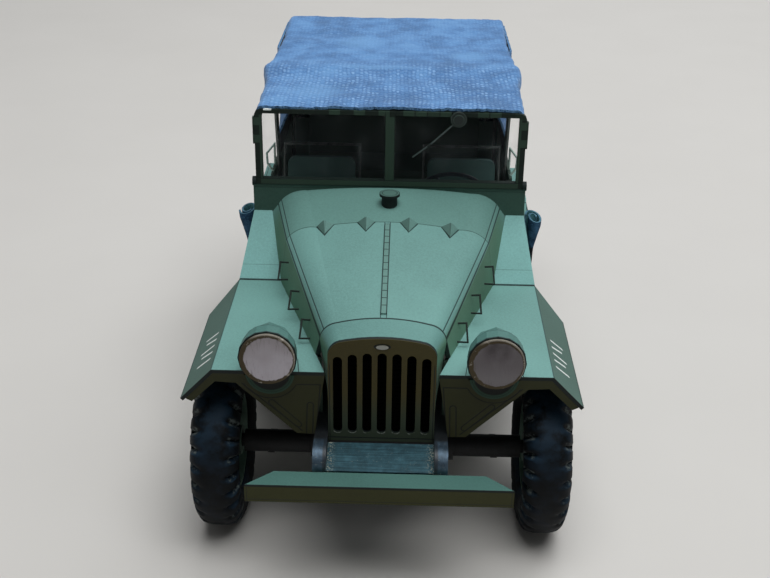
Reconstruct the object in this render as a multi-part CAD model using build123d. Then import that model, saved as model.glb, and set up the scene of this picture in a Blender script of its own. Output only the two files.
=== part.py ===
from build123d import *
import os

# Card scale model, 1:25, of a light army 4x4 car with a cloth top.
# Millimetres at the model's own size.  Y runs backwards from the front axle while
# building, X is the car's left, Z is up from the table.  save() then moves every
# piece so that the origin lies on the table under the middle of the length.

# Overall sizes
WHEELBASE = 84.0
FRONT_OVERHANG = 22.5     # front axle to the bumper's face
REAR_OVERHANG = 27.5      # rear axle to the back of the spare wheel
LENGTH = FRONT_OVERHANG + WHEELBASE + REAR_OVERHANG
TRACK = 56.4              # between the middles of the tyres
TYRE_R = 15.08
TYRE_W = 8.4
BODY_W = 52.0             # outside of the tub
WING_W = 66.2             # over the wing skirts
ROOF_Z = 67.9             # top of the cloth at the back

# Card and running clearances
CARD = 0.6                # glued double card
STUB_R = 1.2              # axle stub in a wheel hub
STUB_GAP = 0.05           # radial clearance of a stub in its hub
GAP = 0.06                # between glued sheets that only touch

# Heights and stations from the front axle
AXLE_Z = TYRE_R
RAIL_Z = 21.5             # bottom of the frame rails
RAIL_H = 3.5
RAIL_X = 9.9              # middle of a rail
RAIL_W = 2.2
FLOOR_Z = RAIL_Z + RAIL_H
NOSE_Y = -12.0            # face of the grille
SHELL_Y = -6.0            # seam between radiator shell and bonnet
SEAM_Y = 21.5             # seam between bonnet and scuttle
DASH_Y = 33.3             # face of the dark panel under the windscreen
TAIL_Y = WHEELBASE + 17.0 # outside of the rear panel
WING_Z = 36.2             # top of the front wings
SCREEN_Z = 51.4           # bottom of the windscreen frame
SCREEN_H = 14.7
SIDE_X = BODY_W / 2
RAMP_Y = 22.2             # back end of the flat front wing, foot of the shoulder
SHIFT_Y = FRONT_OVERHANG - LENGTH / 2

os.makedirs("parts", exist_ok=True)


def save(name, *solids):
    shape = solids[0]
    for other in solids[1:]:
        shape = shape + other
    export_step(Pos(0, SHIFT_Y, 0) * shape, "parts/" + name + ".step")


def block(x0, x1, y0, y1, z0, z1):
    return Pos((x0 + x1) / 2, (y0 + y1) / 2, (z0 + z1) / 2) * Box(x1 - x0, y1 - y0, z1 - z0)


def sheet(points, direction, thick):
    # flat card sheet from its corners, thickened one way
    way = Vector(*direction).normalized()
    return extrude(make_face(Polyline(*points, close=True)), thick, dir=way)


def flip(shape):
    return mirror(shape, about=Plane.YZ)


def pair(shape):
    return shape + flip(shape)


def round_x(x0, x1, y, z, r):
    return Pos((x0 + x1) / 2, y, z) * Rot(0, 90, 0) * Cylinder(r, x1 - x0)


def round_y(x, y0, y1, z, r):
    return Pos(x, (y0 + y1) / 2, z) * Rot(90, 0, 0) * Cylinder(r, y1 - y0)


def wire(points, r):
    # bent wire with tight, mitred corners
    path = Polyline(*points)
    section = Plane(path @ 0, z_dir=path % 0) * RegularPolygon(r, 6)
    return sweep(section, path, transition=Transition.RIGHT)


def arch(y, half, side_z, sh_x, sh_z, top_z, foot_half, foot_z):
    # one cross-section of the bonnet: straight sides, tight shoulders, shallow top
    mid_x = (half + sh_x) / 2 + 0.12 * (half - sh_x)
    mid_z = (side_z + sh_z) / 2 + 0.22 * (sh_z - side_z)
    top = ThreePointArc((sh_x, y, sh_z), (0, y, top_z), (-sh_x, y, sh_z))
    right = ThreePointArc((half, y, side_z), (mid_x, y, mid_z), (sh_x, y, sh_z))
    left = ThreePointArc((-sh_x, y, sh_z), (-mid_x, y, mid_z), (-half, y, side_z))
    walls = Polyline(
        (-half, y, side_z),
        (-foot_half, y, foot_z),
        (foot_half, y, foot_z),
        (half, y, side_z),
    )
    return make_face(right + top + left + walls)


def arch_shell(rows, wall):
    # card shell between stations: the outer loft less the same loft one card smaller
    outer = loft([arch(*r) for r in rows], ruled=True)
    y_first, y_last = rows[0][0], rows[-1][0]
    inner_rows = []
    for y, half, side_z, sh_x, sh_z, top_z, foot_half, foot_z in rows:
        if y == y_first:
            y = y - 0.01
        if y == y_last:
            y = y + 0.01
        inner_rows.append(
            (y, half - wall, side_z - 0.5 * wall, sh_x - 0.5 * wall, sh_z - wall,
             top_z - wall, foot_half - wall, foot_z - 1.0)
        )
    return outer - loft([arch(*r) for r in inner_rows], ruled=True)


# Cross-sections of the nose, bonnet and scuttle
# y, half width at the crease, crease z, shoulder x, shoulder z, top z, foot half, foot z
NOSE_ROWS = [
    (NOSE_Y, 8.8, 39.6, 6.4, 42.0, 42.7, 8.75, 23.4),
    (SHELL_Y, 10.5, 39.2, 7.6, 42.3, 43.3, 8.5, 23.4),
]
BONNET_ROWS = [
    (SHELL_Y + GAP, 10.5, 39.2, 7.6, 42.3, 43.3, 11.2, WING_Z + 0.02),
    (SEAM_Y - GAP, 18.7, 44.8, 13.2, 47.5, 48.8, 19.8, WING_Z + 0.02),
]
SCUTTLE_ROWS = [
    (SEAM_Y, 18.7, 44.8, 13.2, 47.5, 48.8, 19.8, WING_Z + 0.02),
    (DASH_Y, 21.4, 47.0, 15.6, 50.1, 51.0, 22.5, 45.5),
]

# Frame: two rails with rounded horns at the front, and cross members
def rail():
    top = RAIL_Z + RAIL_H
    horn = Polyline((0, TAIL_Y - 4, RAIL_Z), (0, -18.5, RAIL_Z))
    nose = ThreePointArc((0, -18.5, RAIL_Z), (0, -17.9, top - 0.9), (0, -16.0, top))
    back = Polyline((0, -16.0, top), (0, TAIL_Y - 4, top), (0, TAIL_Y - 4, RAIL_Z))
    side = make_face(horn + nose + back)
    return Pos(RAIL_X - RAIL_W / 2, 0, 0) * extrude(side, RAIL_W, dir=(1, 0, 0))


save("frame_rail_left", rail())
save("frame_rail_right", flip(rail()))

inner_x = RAIL_X - RAIL_W / 2
# front edge, width, height of the top
members = [
    (-10.0, 3.0, 23.3),
    (20.4, 2.6, 24.7),
    (44.0, 2.6, 24.7),
    (70.0, 2.6, 24.7),
    (TAIL_Y - 7, 2.6, 24.7),
]
bars = [block(-inner_x, inner_x, y, y + w, RAIL_Z + 0.1, z) for y, w, z in members]
save("cross_members", *bars)

panel = sheet(
    [
        (-inner_x, -18.4, RAIL_Z + 0.2),
        (inner_x, -18.4, RAIL_Z + 0.2),
        (inner_x, -12.3, 23.2),
        (-inner_x, -12.3, 23.2),
    ],
    (0, 0.28, -1),
    CARD,
)
save("horn_plate", panel)

# Front bumper: a folded card box, longer at the front than at the back
plan = [(-21.55, -22.5), (21.55, -22.5), (17.2, -18.55), (-17.2, -18.55)]
bumper = extrude(Pos(0, 0, 18.3) * make_face(Polyline(*plan, close=True)), RAIL_Z - 18.3)
save("front_bumper", bumper)

# Grille: face plate with seven round-ended slots that follow the arch
SLOT_PITCH = 2.4
SLOT_W = 1.5
grille_row = list(NOSE_ROWS[0])
grille_row[0] = NOSE_Y + CARD
face = extrude(arch(*grille_row), CARD, dir=(0, -1, 0))
for i in range(-3, 4):
    top_z = 40.1 - 0.09 * i * i
    length = top_z - 25.0
    slot = Rot(90, 0, 0) * SlotOverall(length, SLOT_W, rotation=90)
    face -= Pos(i * SLOT_PITCH, NOSE_Y + 2, 25.0 + length / 2) * extrude(slot, 4, dir=(0, -1, 0))
badge = Pos(0, NOSE_Y, 41.3) * Rot(90, 0, 0) * extrude(Ellipse(1.05, 0.42), 0.2)
save("radiator_grille", face + badge)

shell_rows = [list(r) for r in NOSE_ROWS]
shell_rows[0][0] = NOSE_Y + CARD
save("radiator_shell", arch_shell(shell_rows, CARD))
save("radiator_core", block(-8.0, 8.0, -10.2, -8.6, 23.6, 40.0))

# Bonnet with its centre hinge, and the scuttle behind it
hinge = sheet(
    [(-0.5, SHELL_Y + 1, 43.35), (0.5, SHELL_Y + 1, 43.35),
     (0.5, SEAM_Y - 1, 48.48), (-0.5, SEAM_Y - 1, 48.48)],
    (0, 0, 1),
    0.45,
)
save("bonnet", arch_shell(BONNET_ROWS, CARD))
bonnet_core = loft([arch(*r) for r in BONNET_ROWS], ruled=True)
scuttle_core = loft([arch(*r) for r in SCUTTLE_ROWS], ruled=True)
save("scuttle", arch_shell(SCUTTLE_ROWS, CARD))

# Four little kite-shaped pyramids on the seam, standing square on the bonnet
PYRAMID_H = 1.4
PYRAMID_X = (3.9, 11.4)
PYRAMID_PLAN = [(1.9, 0), (0, 1.4), (-1.9, 0), (0, -3.4)]
PYRAMID_TIP = 0.06        # share of the plan left at the tip
BURY = 0.15               # depth of a foot below the card, cut away again
SLOPE = (BONNET_ROWS[1][5] - BONNET_ROWS[0][5]) / (BONNET_ROWS[1][0] - BONNET_ROWS[0][0])
studs = []
for x in PYRAMID_X:
    shoulder_x, shoulder_z, top_z = SCUTTLE_ROWS[0][3:6]
    drop = (top_z - shoulder_z) * (x / shoulder_x) ** 2
    fall = 2 * drop / x
    foot = Plane((x, SEAM_Y, top_z - drop - BURY), x_dir=(1, 0, -fall), z_dir=(fall, -SLOPE, 1))
    tip_plan = [(PYRAMID_TIP * u, PYRAMID_TIP * v) for u, v in PYRAMID_PLAN]
    base = foot * make_face(Polyline(*PYRAMID_PLAN, close=True))
    tip = foot * Pos(0, 0, PYRAMID_H) * make_face(Polyline(*tip_plan, close=True))
    studs.append(pair(loft([base, tip], ruled=True)))
deck = loft([arch(*BONNET_ROWS[0]), arch(*SCUTTLE_ROWS[0])], ruled=True)
trim = [stud - deck - bonnet_core - scuttle_core for stud in studs]
save("bonnet_trim", hinge - bonnet_core, *trim)

# Wire catches along the bonnet sides
CATCHES = [(18.3, 15.5, 41.2), (15.6, 7.0, 39.6), (13.0, -1.0, 38.2)]
catches = []
for x, y, z in CATCHES:
    ends = [
        (x - 0.5, y + 1.3, z + 1.2),
        (x + 1.0, y + 1.5, z + 1.2),
        (x + 1.2, y - 1.3, z - 1.0),
        (x - 0.6, y - 1.2, z - 1.0),
    ]
    catches.append(pair(wire(ends, 0.17)))
save("bonnet_catches", *[catch - bonnet_core for catch in catches])

# Dark upright panel under the windscreen, behind the scuttle's arch
board = block(-SIDE_X, SIDE_X, DASH_Y, DASH_Y + CARD, 45.8, SCREEN_Z)

CAP_TOP = 52.2
CAP_BRIM = 0.5
stand = (Align.CENTER, Align.CENTER, Align.MAX)
cap = Pos(0.2, 27.4, CAP_TOP - CAP_BRIM) * Cylinder(1.45, 2.2, align=stand)
cap += Pos(0.2, 27.4, CAP_TOP) * Cylinder(1.9, CAP_BRIM, align=stand)
save("filler_cap", cap - scuttle_core)

# Front wings: flat top and slanting skirt, with a bite for the head lamp
FOLD_X = 27.8
SKIRT_X = WING_W / 2
SKIRT_Z = 30.7
SKIRT_BACK = 18.0
LIP_Y = -11.8
LAMP_X = 18.2
LAMP_Z = 40.0
LAMP_R = 4.6
LAMP_FACE = -14.2

# Shoulders: sloping card panels beside the scuttle, from the wing up to the windscreen
shoulder = sheet(
    [
        (19.9, RAMP_Y, WING_Z),
        (FOLD_X, RAMP_Y, WING_Z),
        (SIDE_X, DASH_Y, 45.8),
        (22.5, DASH_Y, 45.8),
    ],
    (0, 0, -1),
    CARD,
)
save("shoulders", pair(shoulder))


def front_wing():
    top = sheet(
        [
            (9.3, LIP_Y, WING_Z),
            (FOLD_X, LIP_Y, WING_Z),
            (FOLD_X, RAMP_Y, WING_Z),
            (19.9, RAMP_Y, WING_Z),
        ],
        (0, 0, -1),
        CARD,
    )
    skirt = sheet(
        [
            (FOLD_X, LIP_Y, WING_Z),
            (SKIRT_X, LIP_Y, SKIRT_Z),
            (SKIRT_X, SKIRT_BACK, SKIRT_Z),
            (FOLD_X, RAMP_Y, WING_Z),
        ],
        (-1, 0, -1),
        CARD,
    )
    return top + skirt - round_y(LAMP_X, LIP_Y - 1, LIP_Y + 2, LAMP_Z, LAMP_R + 0.4)


save("front_wing_left", front_wing())
save("front_wing_right", flip(front_wing()))

# Splash boards behind the front wheels, running down from the wings to the steps
STEP_X = 31.6
STEP_Y = 31.0
STEP_Z = 19.0
SPLASH_TOP = WING_Z - CARD
SPLASH_LEAN = (STEP_Y - RAMP_Y) / (SPLASH_TOP - STEP_Z)
splash = sheet(
    [
        (SIDE_X + GAP, RAMP_Y, SPLASH_TOP),
        (FOLD_X - 0.5, RAMP_Y, SPLASH_TOP),
        (STEP_X, RAMP_Y + SPLASH_LEAN * 5.5, SPLASH_TOP - 5.5),
        (STEP_X, STEP_Y, STEP_Z),
        (SIDE_X + GAP, STEP_Y, STEP_Z),
    ],
    (0, 1, 0),
    CARD,
)
step = block(SIDE_X + GAP, STEP_X, STEP_Y, 60.0, STEP_Z - CARD, STEP_Z)
save("splash_boards_and_steps", pair(splash), pair(step))

# Front aprons under the wings, each with a round cut-out for a lamp

def apron():
    plate = sheet(
        [
            (9.3, LIP_Y, WING_Z - CARD),
            (FOLD_X - 0.3, LIP_Y, WING_Z - CARD),
            (SKIRT_X - 0.9, LIP_Y, SKIRT_Z),
            (31.2, LIP_Y, 30.2),
            (27.2, LIP_Y, 34.1),
            (23.8, LIP_Y, 33.9),
            (14.0, LIP_Y, 24.5),
            (11.05, LIP_Y, 24.4),
        ],
        (0, 1, 0),
        CARD,
    )
    return plate - round_y(LAMP_X, -14, -8, LAMP_Z, 6.12)


def lamp_cup():
    tube = round_y(LAMP_X, LIP_Y - 0.25, -6.2, LAMP_Z, 6.1) - round_y(LAMP_X, -14, -6.8, LAMP_Z, 5.6)
    return tube & block(10, 26, -14, -6, 30, WING_Z - CARD)


save("front_aprons", pair(apron()), pair(lamp_cup()))

# Inner walls of the engine bay, under the edges of the bonnet
wall = sheet(
    [
        (10.7, SHELL_Y, FLOOR_Z),
        (19.6, RAMP_Y, FLOOR_Z),
        (19.6, RAMP_Y, WING_Z - CARD - GAP),
        (10.7, SHELL_Y, WING_Z - CARD - GAP),
    ],
    (-1, 0, 0),
    CARD,
)
save("engine_bay_walls", pair(wall))

# Head lamps: ten-sided card drums that narrow to the back, with flat lenses
def lamp():
    front = Pos(LAMP_X, LAMP_FACE, LAMP_Z) * Rot(90, 0, 0) * RegularPolygon(LAMP_R + 0.15, 16)
    back = Pos(LAMP_X, -9.4, LAMP_Z + 0.5) * Rot(90, 0, 0) * RegularPolygon(3.5, 8)
    mid = Pos(LAMP_X, -11.6, LAMP_Z + 0.2) * Rot(90, 0, 0) * RegularPolygon(LAMP_R - 0.1, 16)
    drum = loft([front, mid], ruled=True)
    tail_base = Pos(LAMP_X, -11.6, LAMP_Z + 0.2) * Rot(90, 0, 0) * RegularPolygon(LAMP_R - 0.1, 8)
    drum += loft([tail_base, back], ruled=True)
    return drum + block(LAMP_X - 1, LAMP_X + 1, -9.75, -8.6, WING_Z, LAMP_Z)


save("lamp_drums", pair(lamp()))
lens = round_y(LAMP_X, LAMP_FACE - 0.45, LAMP_FACE, LAMP_Z, LAMP_R - 0.15)
save("lamp_lenses", pair(lens))

# Windscreen: frame with a centre bar, two panes, hinge lugs and a wiper
FRAME_Y = DASH_Y - 0.3
FRAME_T = 1.3
FRAME_HALF = 25.4
TAB = 0.35                # card tabs glued round the tops of the posts
TAB_Z = (59.3, 64.5)
outline = Pos(0, 0, SCREEN_Z + SCREEN_H / 2) * Rot(90, 0, 0)
frame_face = outline * RectangleRounded(2 * FRAME_HALF, SCREEN_H, 1.4)
frame_face += outline * Pos(0, -SCREEN_H / 4) * Rectangle(2 * FRAME_HALF, SCREEN_H / 2)
frame = Pos(0, FRAME_Y + FRAME_T, 0) * extrude(frame_face, FRAME_T, dir=(0, -1, 0))
POST = 1.35
BAR = 1.8
pane_w = FRAME_HALF - POST - BAR / 2
pane_h = SCREEN_H - 1.1 - 0.8
pane_x = BAR / 2 + pane_w / 2
pane_z = SCREEN_Z + 1.1 + pane_h / 2
for side in (-1, 1):
    frame -= Pos(side * pane_x, FRAME_Y + FRAME_T / 2, pane_z) * Box(pane_w, 4, pane_h)
frame += pair(block(FRAME_HALF - 0.1, FRAME_HALF + TAB, FRAME_Y + 0.2, FRAME_Y + 1.1, *TAB_Z))
save("windscreen_frame", frame)
panes = [
    Pos(s * pane_x, FRAME_Y + FRAME_T / 2, pane_z) * Box(pane_w, 0.25, pane_h) for s in (-1, 1)
]
save("windscreen_panes", *panes)

lug = round_x(FRAME_HALF + 0.02, SIDE_X + 0.15, DASH_Y + 0.4, SCREEN_Z + 0.3, 0.9)
save("screen_panel", board, pair(lug))

# The wiper hangs from a stepped motor on the top rail, with a joint halfway along its arm
wiper = round_y(12.7, FRAME_Y - 0.35, FRAME_Y - 0.02, 64.9, 1.5)
wiper += round_y(12.7, FRAME_Y - 0.75, FRAME_Y - 0.35, 64.9, 0.95)
wiper += round_y(7.35, FRAME_Y - 0.5, FRAME_Y - 0.02, 59.75, 0.35)
wiper_arm = [
    (12.3, FRAME_Y - 0.3, 64.5),
    (7.35, FRAME_Y - 0.25, 59.75),
    (4.3, FRAME_Y + 0.1, 57.3),
]
save("wiper", wiper + wire(wiper_arm, 0.16))

# Tub: sides with open doorways and rear wheel cut-outs
SIDE_BOTTOM = 21.0
SIDE_TOP = 43.0
DOOR_Y0 = 38.0
DOOR_Y1 = 61.0
SILL_Z = 27.0
ARCH_R = TYRE_R + 2.4     # wheel cut-outs in the sides, and the boxes behind them


def side_panel():
    pts = [
        (SIDE_X, RAMP_Y + 1.2, SIDE_BOTTOM),
        (SIDE_X, RAMP_Y + 1.2, WING_Z + 0.3),
        (SIDE_X, DASH_Y, 45.1),
        (SIDE_X, DOOR_Y0, 45.1),
        (SIDE_X, DOOR_Y0, SIDE_TOP),
        (SIDE_X, TAIL_Y - CARD, SIDE_TOP),
        (SIDE_X, TAIL_Y - CARD, SIDE_BOTTOM),
    ]
    panel = sheet(pts, (-1, 0, 0), CARD)
    door = Pos(SIDE_X, (DOOR_Y0 + DOOR_Y1) / 2, SILL_Z + 15) * Rot(0, 90, 0)
    door = door * RectangleRounded(30, DOOR_Y1 - DOOR_Y0, 3.5)
    panel -= extrude(door, 3, both=True)
    return panel - round_x(20, 30, WHEELBASE, AXLE_Z, ARCH_R)


save("body_side_left", side_panel())
save("body_side_right", flip(side_panel()))
save("rear_panel", block(-SIDE_X, SIDE_X, TAIL_Y - CARD, TAIL_Y, SIDE_BOTTOM, SIDE_TOP))

# Floor, with the tub's wheel boxes standing on it
BOX_X = 22.6
FLOOR_T = CARD
floor = block(-SIDE_X + CARD, SIDE_X - CARD, 24.0, TAIL_Y - CARD, FLOOR_Z, FLOOR_Z + FLOOR_T)
floor -= block(BOX_X, 30, WHEELBASE - 15.6, WHEELBASE + 15.6, 20, 30)
floor -= block(-30, -BOX_X, WHEELBASE - 15.6, WHEELBASE + 15.6, 20, 30)


def wheel_box():
    wall = round_x(BOX_X, SIDE_X - CARD, WHEELBASE, AXLE_Z, ARCH_R + CARD)
    wall -= round_x(BOX_X + CARD, SIDE_X + 1, WHEELBASE, AXLE_Z, ARCH_R)
    return wall & block(20, 27, 60, TAIL_Y - CARD - GAP, FLOOR_Z + FLOOR_T, 40)


save("floor_pan", floor, pair(wheel_box()))

# Rear wings: a folded strip over each wheel outside the tub, and its narrow skirt
REAR_WING_X = 30.8
REAR_WING_Z = AXLE_Z + ARCH_R + 0.6
# distance from the rear axle, drop below the wing's top
REAR_FOLDS = [
    (-19.5, 9.4),
    (-14.4, 3.2),
    (-9.5, 0.0),
    (10.5, 0.0),
    (TAIL_Y - WHEELBASE - 0.5, 2.2),
]
top_run = [(SIDE_X + GAP, WHEELBASE + y, REAR_WING_Z - z) for y, z in REAR_FOLDS]
low_run = [(x, y, z - CARD) for x, y, z in reversed(top_run)]
strip_face = make_face(Polyline(*top_run, *low_run, close=True))
strip = extrude(strip_face, REAR_WING_X - SIDE_X - GAP, dir=(1, 0, 0))
skirt_run = [(REAR_WING_X - CARD, y, z - 1.6) for x, y, z in reversed(top_run)]
edge_run = [(REAR_WING_X - CARD, y, z) for x, y, z in top_run]
skirt_face = make_face(Polyline(*edge_run, *skirt_run, close=True))
save("rear_wings", pair(strip + extrude(skirt_face, CARD, dir=(1, 0, 0))))

# Cab: bulkhead, dashboard, steering wheel, levers, seats, bench
DASH_HALF = 25.3
bulkhead = block(-18.3, 18.3, RAMP_Y + 2.0, RAMP_Y + 2.6, FLOOR_Z + 0.6, 43.8)
dash = sheet(
    [
        (-DASH_HALF, 34.1, 50.6),
        (-DASH_HALF, 37.6, 48.9),
        (-DASH_HALF, 37.6, 45.4),
        (-DASH_HALF, 36.9, 44.6),
        (-DASH_HALF, 36.9, 48.4),
        (-DASH_HALF, 34.1, 49.8),
    ],
    (1, 0, 0),
    2 * DASH_HALF,
)
save("bulkhead_and_dash", bulkhead, dash)

WHEEL_C = (12.4, 47.6, 44.6)
HANDWHEEL_R = 6.7
COLUMN_L = 27.1
tilt = Plane(WHEEL_C, z_dir=(0, 0.82, 0.57))
rim = Plane.XZ * Pos(HANDWHEEL_R, 0) * RegularPolygon(0.4, 6)
ring = tilt * revolve(rim, Axis.Z)
ring += tilt * Cylinder(1.1, 0.9)
for turn in (90, 210, 330):
    spoke = Rot(0, 0, turn) * Pos(HANDWHEEL_R / 2, 0, 0) * Box(HANDWHEEL_R - 0.4, 0.5, 0.35)
    ring += tilt * spoke
column = tilt * Pos(0, 0, -COLUMN_L / 2) * Cylinder(0.5, COLUMN_L)
save("steering_wheel", ring + column)

levers = []
for x, y, lean, h in ((0.8, 40.0, 3.5, 12.0), (-2.2, 42.0, 2.0, 9.0), (-4.0, 42.0, 1.0, 9.0)):
    base = (x, y, FLOOR_Z + FLOOR_T)
    tip = (x, y + lean, FLOOR_Z + FLOOR_T + h)
    levers.append(wire([base, (x, y + 0.3, base[2] + h / 2), tip], 0.3))
    levers.append(Pos(*tip) * Cylinder(0.6, 1.0))
save("gear_levers", *levers)


SEAT_X = 14.9
SEAT_W = 15.0
SEAT_Z = 33.0             # underside of the cushion
RAIL_TOP = 49.4           # tube round the seat's back


def seat():
    cushion = Pos(SEAT_X, 51.5, SEAT_Z + 1.3) * Box(SEAT_W, 13.6, 2.6)
    cushion = fillet(cushion.edges().filter_by(Axis.Z), 2.2)
    back = Box(SEAT_W - 0.6, 2.0, 12.0)
    back = fillet(back.edges().filter_by(Axis.Y), 1.6)
    return cushion + Pos(SEAT_X, 59.8, SEAT_Z + 8.3) * Rot(-10, 0, 0) * back


def seat_frame():
    inner, outer = SEAT_X - SEAT_W / 2 - 0.5, SEAT_X + SEAT_W / 2 + 0.5
    loop = [
        (inner, 46.0, FLOOR_Z + 0.9),
        (inner, 57.6, SEAT_Z - 0.5),
        (inner, 62.5, RAIL_TOP),
        (outer, 62.5, RAIL_TOP),
        (outer, 57.6, SEAT_Z - 0.5),
        (outer, 46.0, FLOOR_Z + 0.9),
    ]
    feet = [
        block(inner + 1, outer - 1, y, y + 1, FLOOR_Z + FLOOR_T, SEAT_Z) for y in (46.5, 55.5)
    ]
    return wire(loop, 0.35) + feet[0] + feet[1]


save("front_seats", pair(seat()))
save("seat_frames", pair(seat_frame()))

bench = Pos(0, 88.0, 35.2) * Box(41.0, 13.0, 2.8)
bench += Pos(0, 95.6, 41.0) * Rot(-6, 0, 0) * Box(41.0, 2.2, 11.5)
bench += block(-20.0, 20.0, 83.5, 84.3, FLOOR_Z + FLOOR_T, 34.0)
save("rear_bench", bench)

# Cloth top: roof, back and quarters, carried by two wire bows
CLOTH = 0.6
FRONT_ROOF_Z = SCREEN_Z + SCREEN_H + CLOTH + 0.02
# y, half width, height of the top face
ROOF_ROWS = [
    (FRAME_Y + 0.35, 25.2, FRONT_ROOF_Z),
    (53.0, 25.5, 66.9),
    (58.5, 26.6, 67.7),
    (64.0, 25.8, 67.3),
    (TAIL_Y - 0.2, 25.5, ROOF_Z),
]


def roof_section(y, half, z):
    return Pos(0, y, z - CLOTH / 2) * Rot(90, 0, 0) * Rectangle(2 * half, CLOTH)


roof = loft([roof_section(*r) for r in ROOF_ROWS], ruled=True)
save("canvas_roof", roof)

back = block(-25.3, 25.3, TAIL_Y - 0.9, TAIL_Y - 0.3, SIDE_TOP + GAP, ROOF_Z - CLOTH - GAP)
quarter = sheet(
    [
        (25.3, 74.0, 66.75),
        (25.3, TAIL_Y - 0.3, ROOF_Z - CLOTH - GAP),
        (25.3, TAIL_Y - 0.3, SIDE_TOP + GAP),
        (25.3, 71.0, SIDE_TOP + GAP),
    ],
    (-1, 0, 0),
    CLOTH,
)
save("canvas_back", back + pair(quarter))


def bow(y, half, z, foot_y):
    bend = 1.2
    right = [
        (half, foot_y, FLOOR_Z + 10),
        (half, y, z - bend),
        (half - 0.3 * bend, y, z - 0.3 * bend),
        (half - bend, y, z),
    ]
    left = [(-x, v, w) for x, v, w in reversed(right)]
    return wire(right + left, 0.5)


save("roof_bows", bow(58.5, 24.4, 66.5, 66.0), bow(96.0, 24.2, 66.6, 92.0))

# Rolled door curtains, tied narrow at the foot, where they touch the tub
ROLL_FOOT_R = 0.75
# side, middle of the top end, its radius
ROLLS = [
    (1, 28.15, 1.8),
    (-1, 27.75, 1.5),
]
rolls = []
for side, x, r in ROLLS:
    lower = Pos(side * (SIDE_X + GAP + ROLL_FOOT_R), 37.2, 36.6) * Circle(ROLL_FOOT_R)
    upper = Pos(side * x, 36.6, 44.4) * Circle(r)
    rolls.append(loft([lower, upper], ruled=True))
save("curtain_rolls", *rolls)

# Wire loops behind the doorways, bent outwards so that a hand fits in
handle = [
    (SIDE_X - 0.3, 62.6, SIDE_TOP + 0.02),
    (SIDE_X + 0.9, 62.9, SIDE_TOP + 1.6),
    (SIDE_X + 1.1, 63.8, SIDE_TOP + 3.6),
    (SIDE_X - 0.3, 66.6, SIDE_TOP + 4.8),
    (SIDE_X - 0.3, 66.6, SIDE_TOP + 0.02),
]
save("grab_handles", pair(wire(handle, 0.25)))

# Under the floor
gearbox = block(-3.6, 3.6, 19.6, 40.0, 15.5, 21.4)
gearbox += block(-4.6, 6.0, 40.0, 43.9, 14.5, 24.4)
gearbox += round_y(0, 43.9, WHEELBASE - 4.62, 16.6, 0.9)
gearbox += round_y(4.6, 4.62, 40.2, 16.6, 0.8)
engine = block(-5.0, 5.0, -5.0, 19.6, 20.2, 37.0)
save("engine_and_gearbox", gearbox, engine)
pipe = wire([(-5.6, 10.0, 24.0), (-7.0, 14.0, 19.8), (-7.0, 92.0, 19.8)], 0.6)
pipe += round_y(-7.0, 50.0, 66.0, 19.4, 1.7)
save("exhaust", pipe)

# Axles: tubes, round differential housings and the stubs that the wheels turn on
HUB_IN = TRACK / 2 - TYRE_W / 2 + 0.5
STUB_X = TRACK / 2 + 3.4


def axle(y, diff_x):
    tube = round_x(-HUB_IN, HUB_IN, y, AXLE_Z, 2.0)
    stubs = round_x(-STUB_X, STUB_X, y, AXLE_Z, STUB_R)
    housing = Pos(diff_x, y, AXLE_Z) * Rot(0, 90, 0) * Cylinder(4.6, 3.4)
    housing = chamfer(housing.edges().filter_by(GeomType.CIRCLE), 1.0)
    flange = round_x(-12.6, -11.4, y, AXLE_Z, 2.7) + round_x(11.4, 12.6, y, AXLE_Z, 2.7)
    return tube + stubs + housing + flange


save("rear_axle", axle(WHEELBASE, 0))

rod = round_x(-20.0, 20.0, 5.2, AXLE_Z - 2.0, 0.5)
for x in (-20.0, 20.0):
    rod += block(x - 0.6, x + 0.6, 0, 5.6, AXLE_Z - 2.6, AXLE_Z - 1.2)
save("front_axle", axle(0, 4.6) + rod)

# Leaf springs: three leaves, each an arc shorter than the one above
LEAF_T = 0.65
LEAF_W = 2.0
LEAF_Z = 18.62            # underside of the longest leaf at its middle
LEAF_RISE = 2.2           # of its ends above that
# half length, drop below the longest
LEAVES = [
    (14.0, 0.0),
    (10.5, 0.75),
    (7.0, 1.5),
]


def leaf(y, x, half, down):
    low = LEAF_Z - down
    ends = low + LEAF_RISE * (half / LEAVES[0][0]) ** 2
    under = ThreePointArc((x, y - half, ends), (x, y, low), (x, y + half, ends))
    back_end = Line((x, y + half, ends), (x, y + half, ends + LEAF_T))
    over = ThreePointArc(
        (x, y + half, ends + LEAF_T),
        (x, y, low + LEAF_T),
        (x, y - half, ends + LEAF_T),
    )
    front_end = Line((x, y - half, ends + LEAF_T), (x, y - half, ends))
    return extrude(make_face(under + back_end + over + front_end), LEAF_W, dir=(1, 0, 0))


packs = []
for y in (0.0, WHEELBASE):
    for half, down in LEAVES:
        packs.append(pair(leaf(y, RAIL_X - LEAF_W / 2, half, down)))
save("leaf_springs", *packs)

# Wheels: stacked card tyre with bevelled shoulders, on a dished disc with a hub
RIM_R = 8.6


def tyre():
    half = TYRE_W / 2
    side = [
        (half - 1.3, RIM_R),
        (half, RIM_R + 2.4),
        (half, TYRE_R - 3.2),
        (half - 0.7, TYRE_R - 1.2),
        (half - 2.2, TYRE_R),
    ]
    other = [(-x, r) for x, r in reversed(side)]
    return revolve(make_face(Polyline(*side, *other, close=True)), Axis.X)


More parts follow.
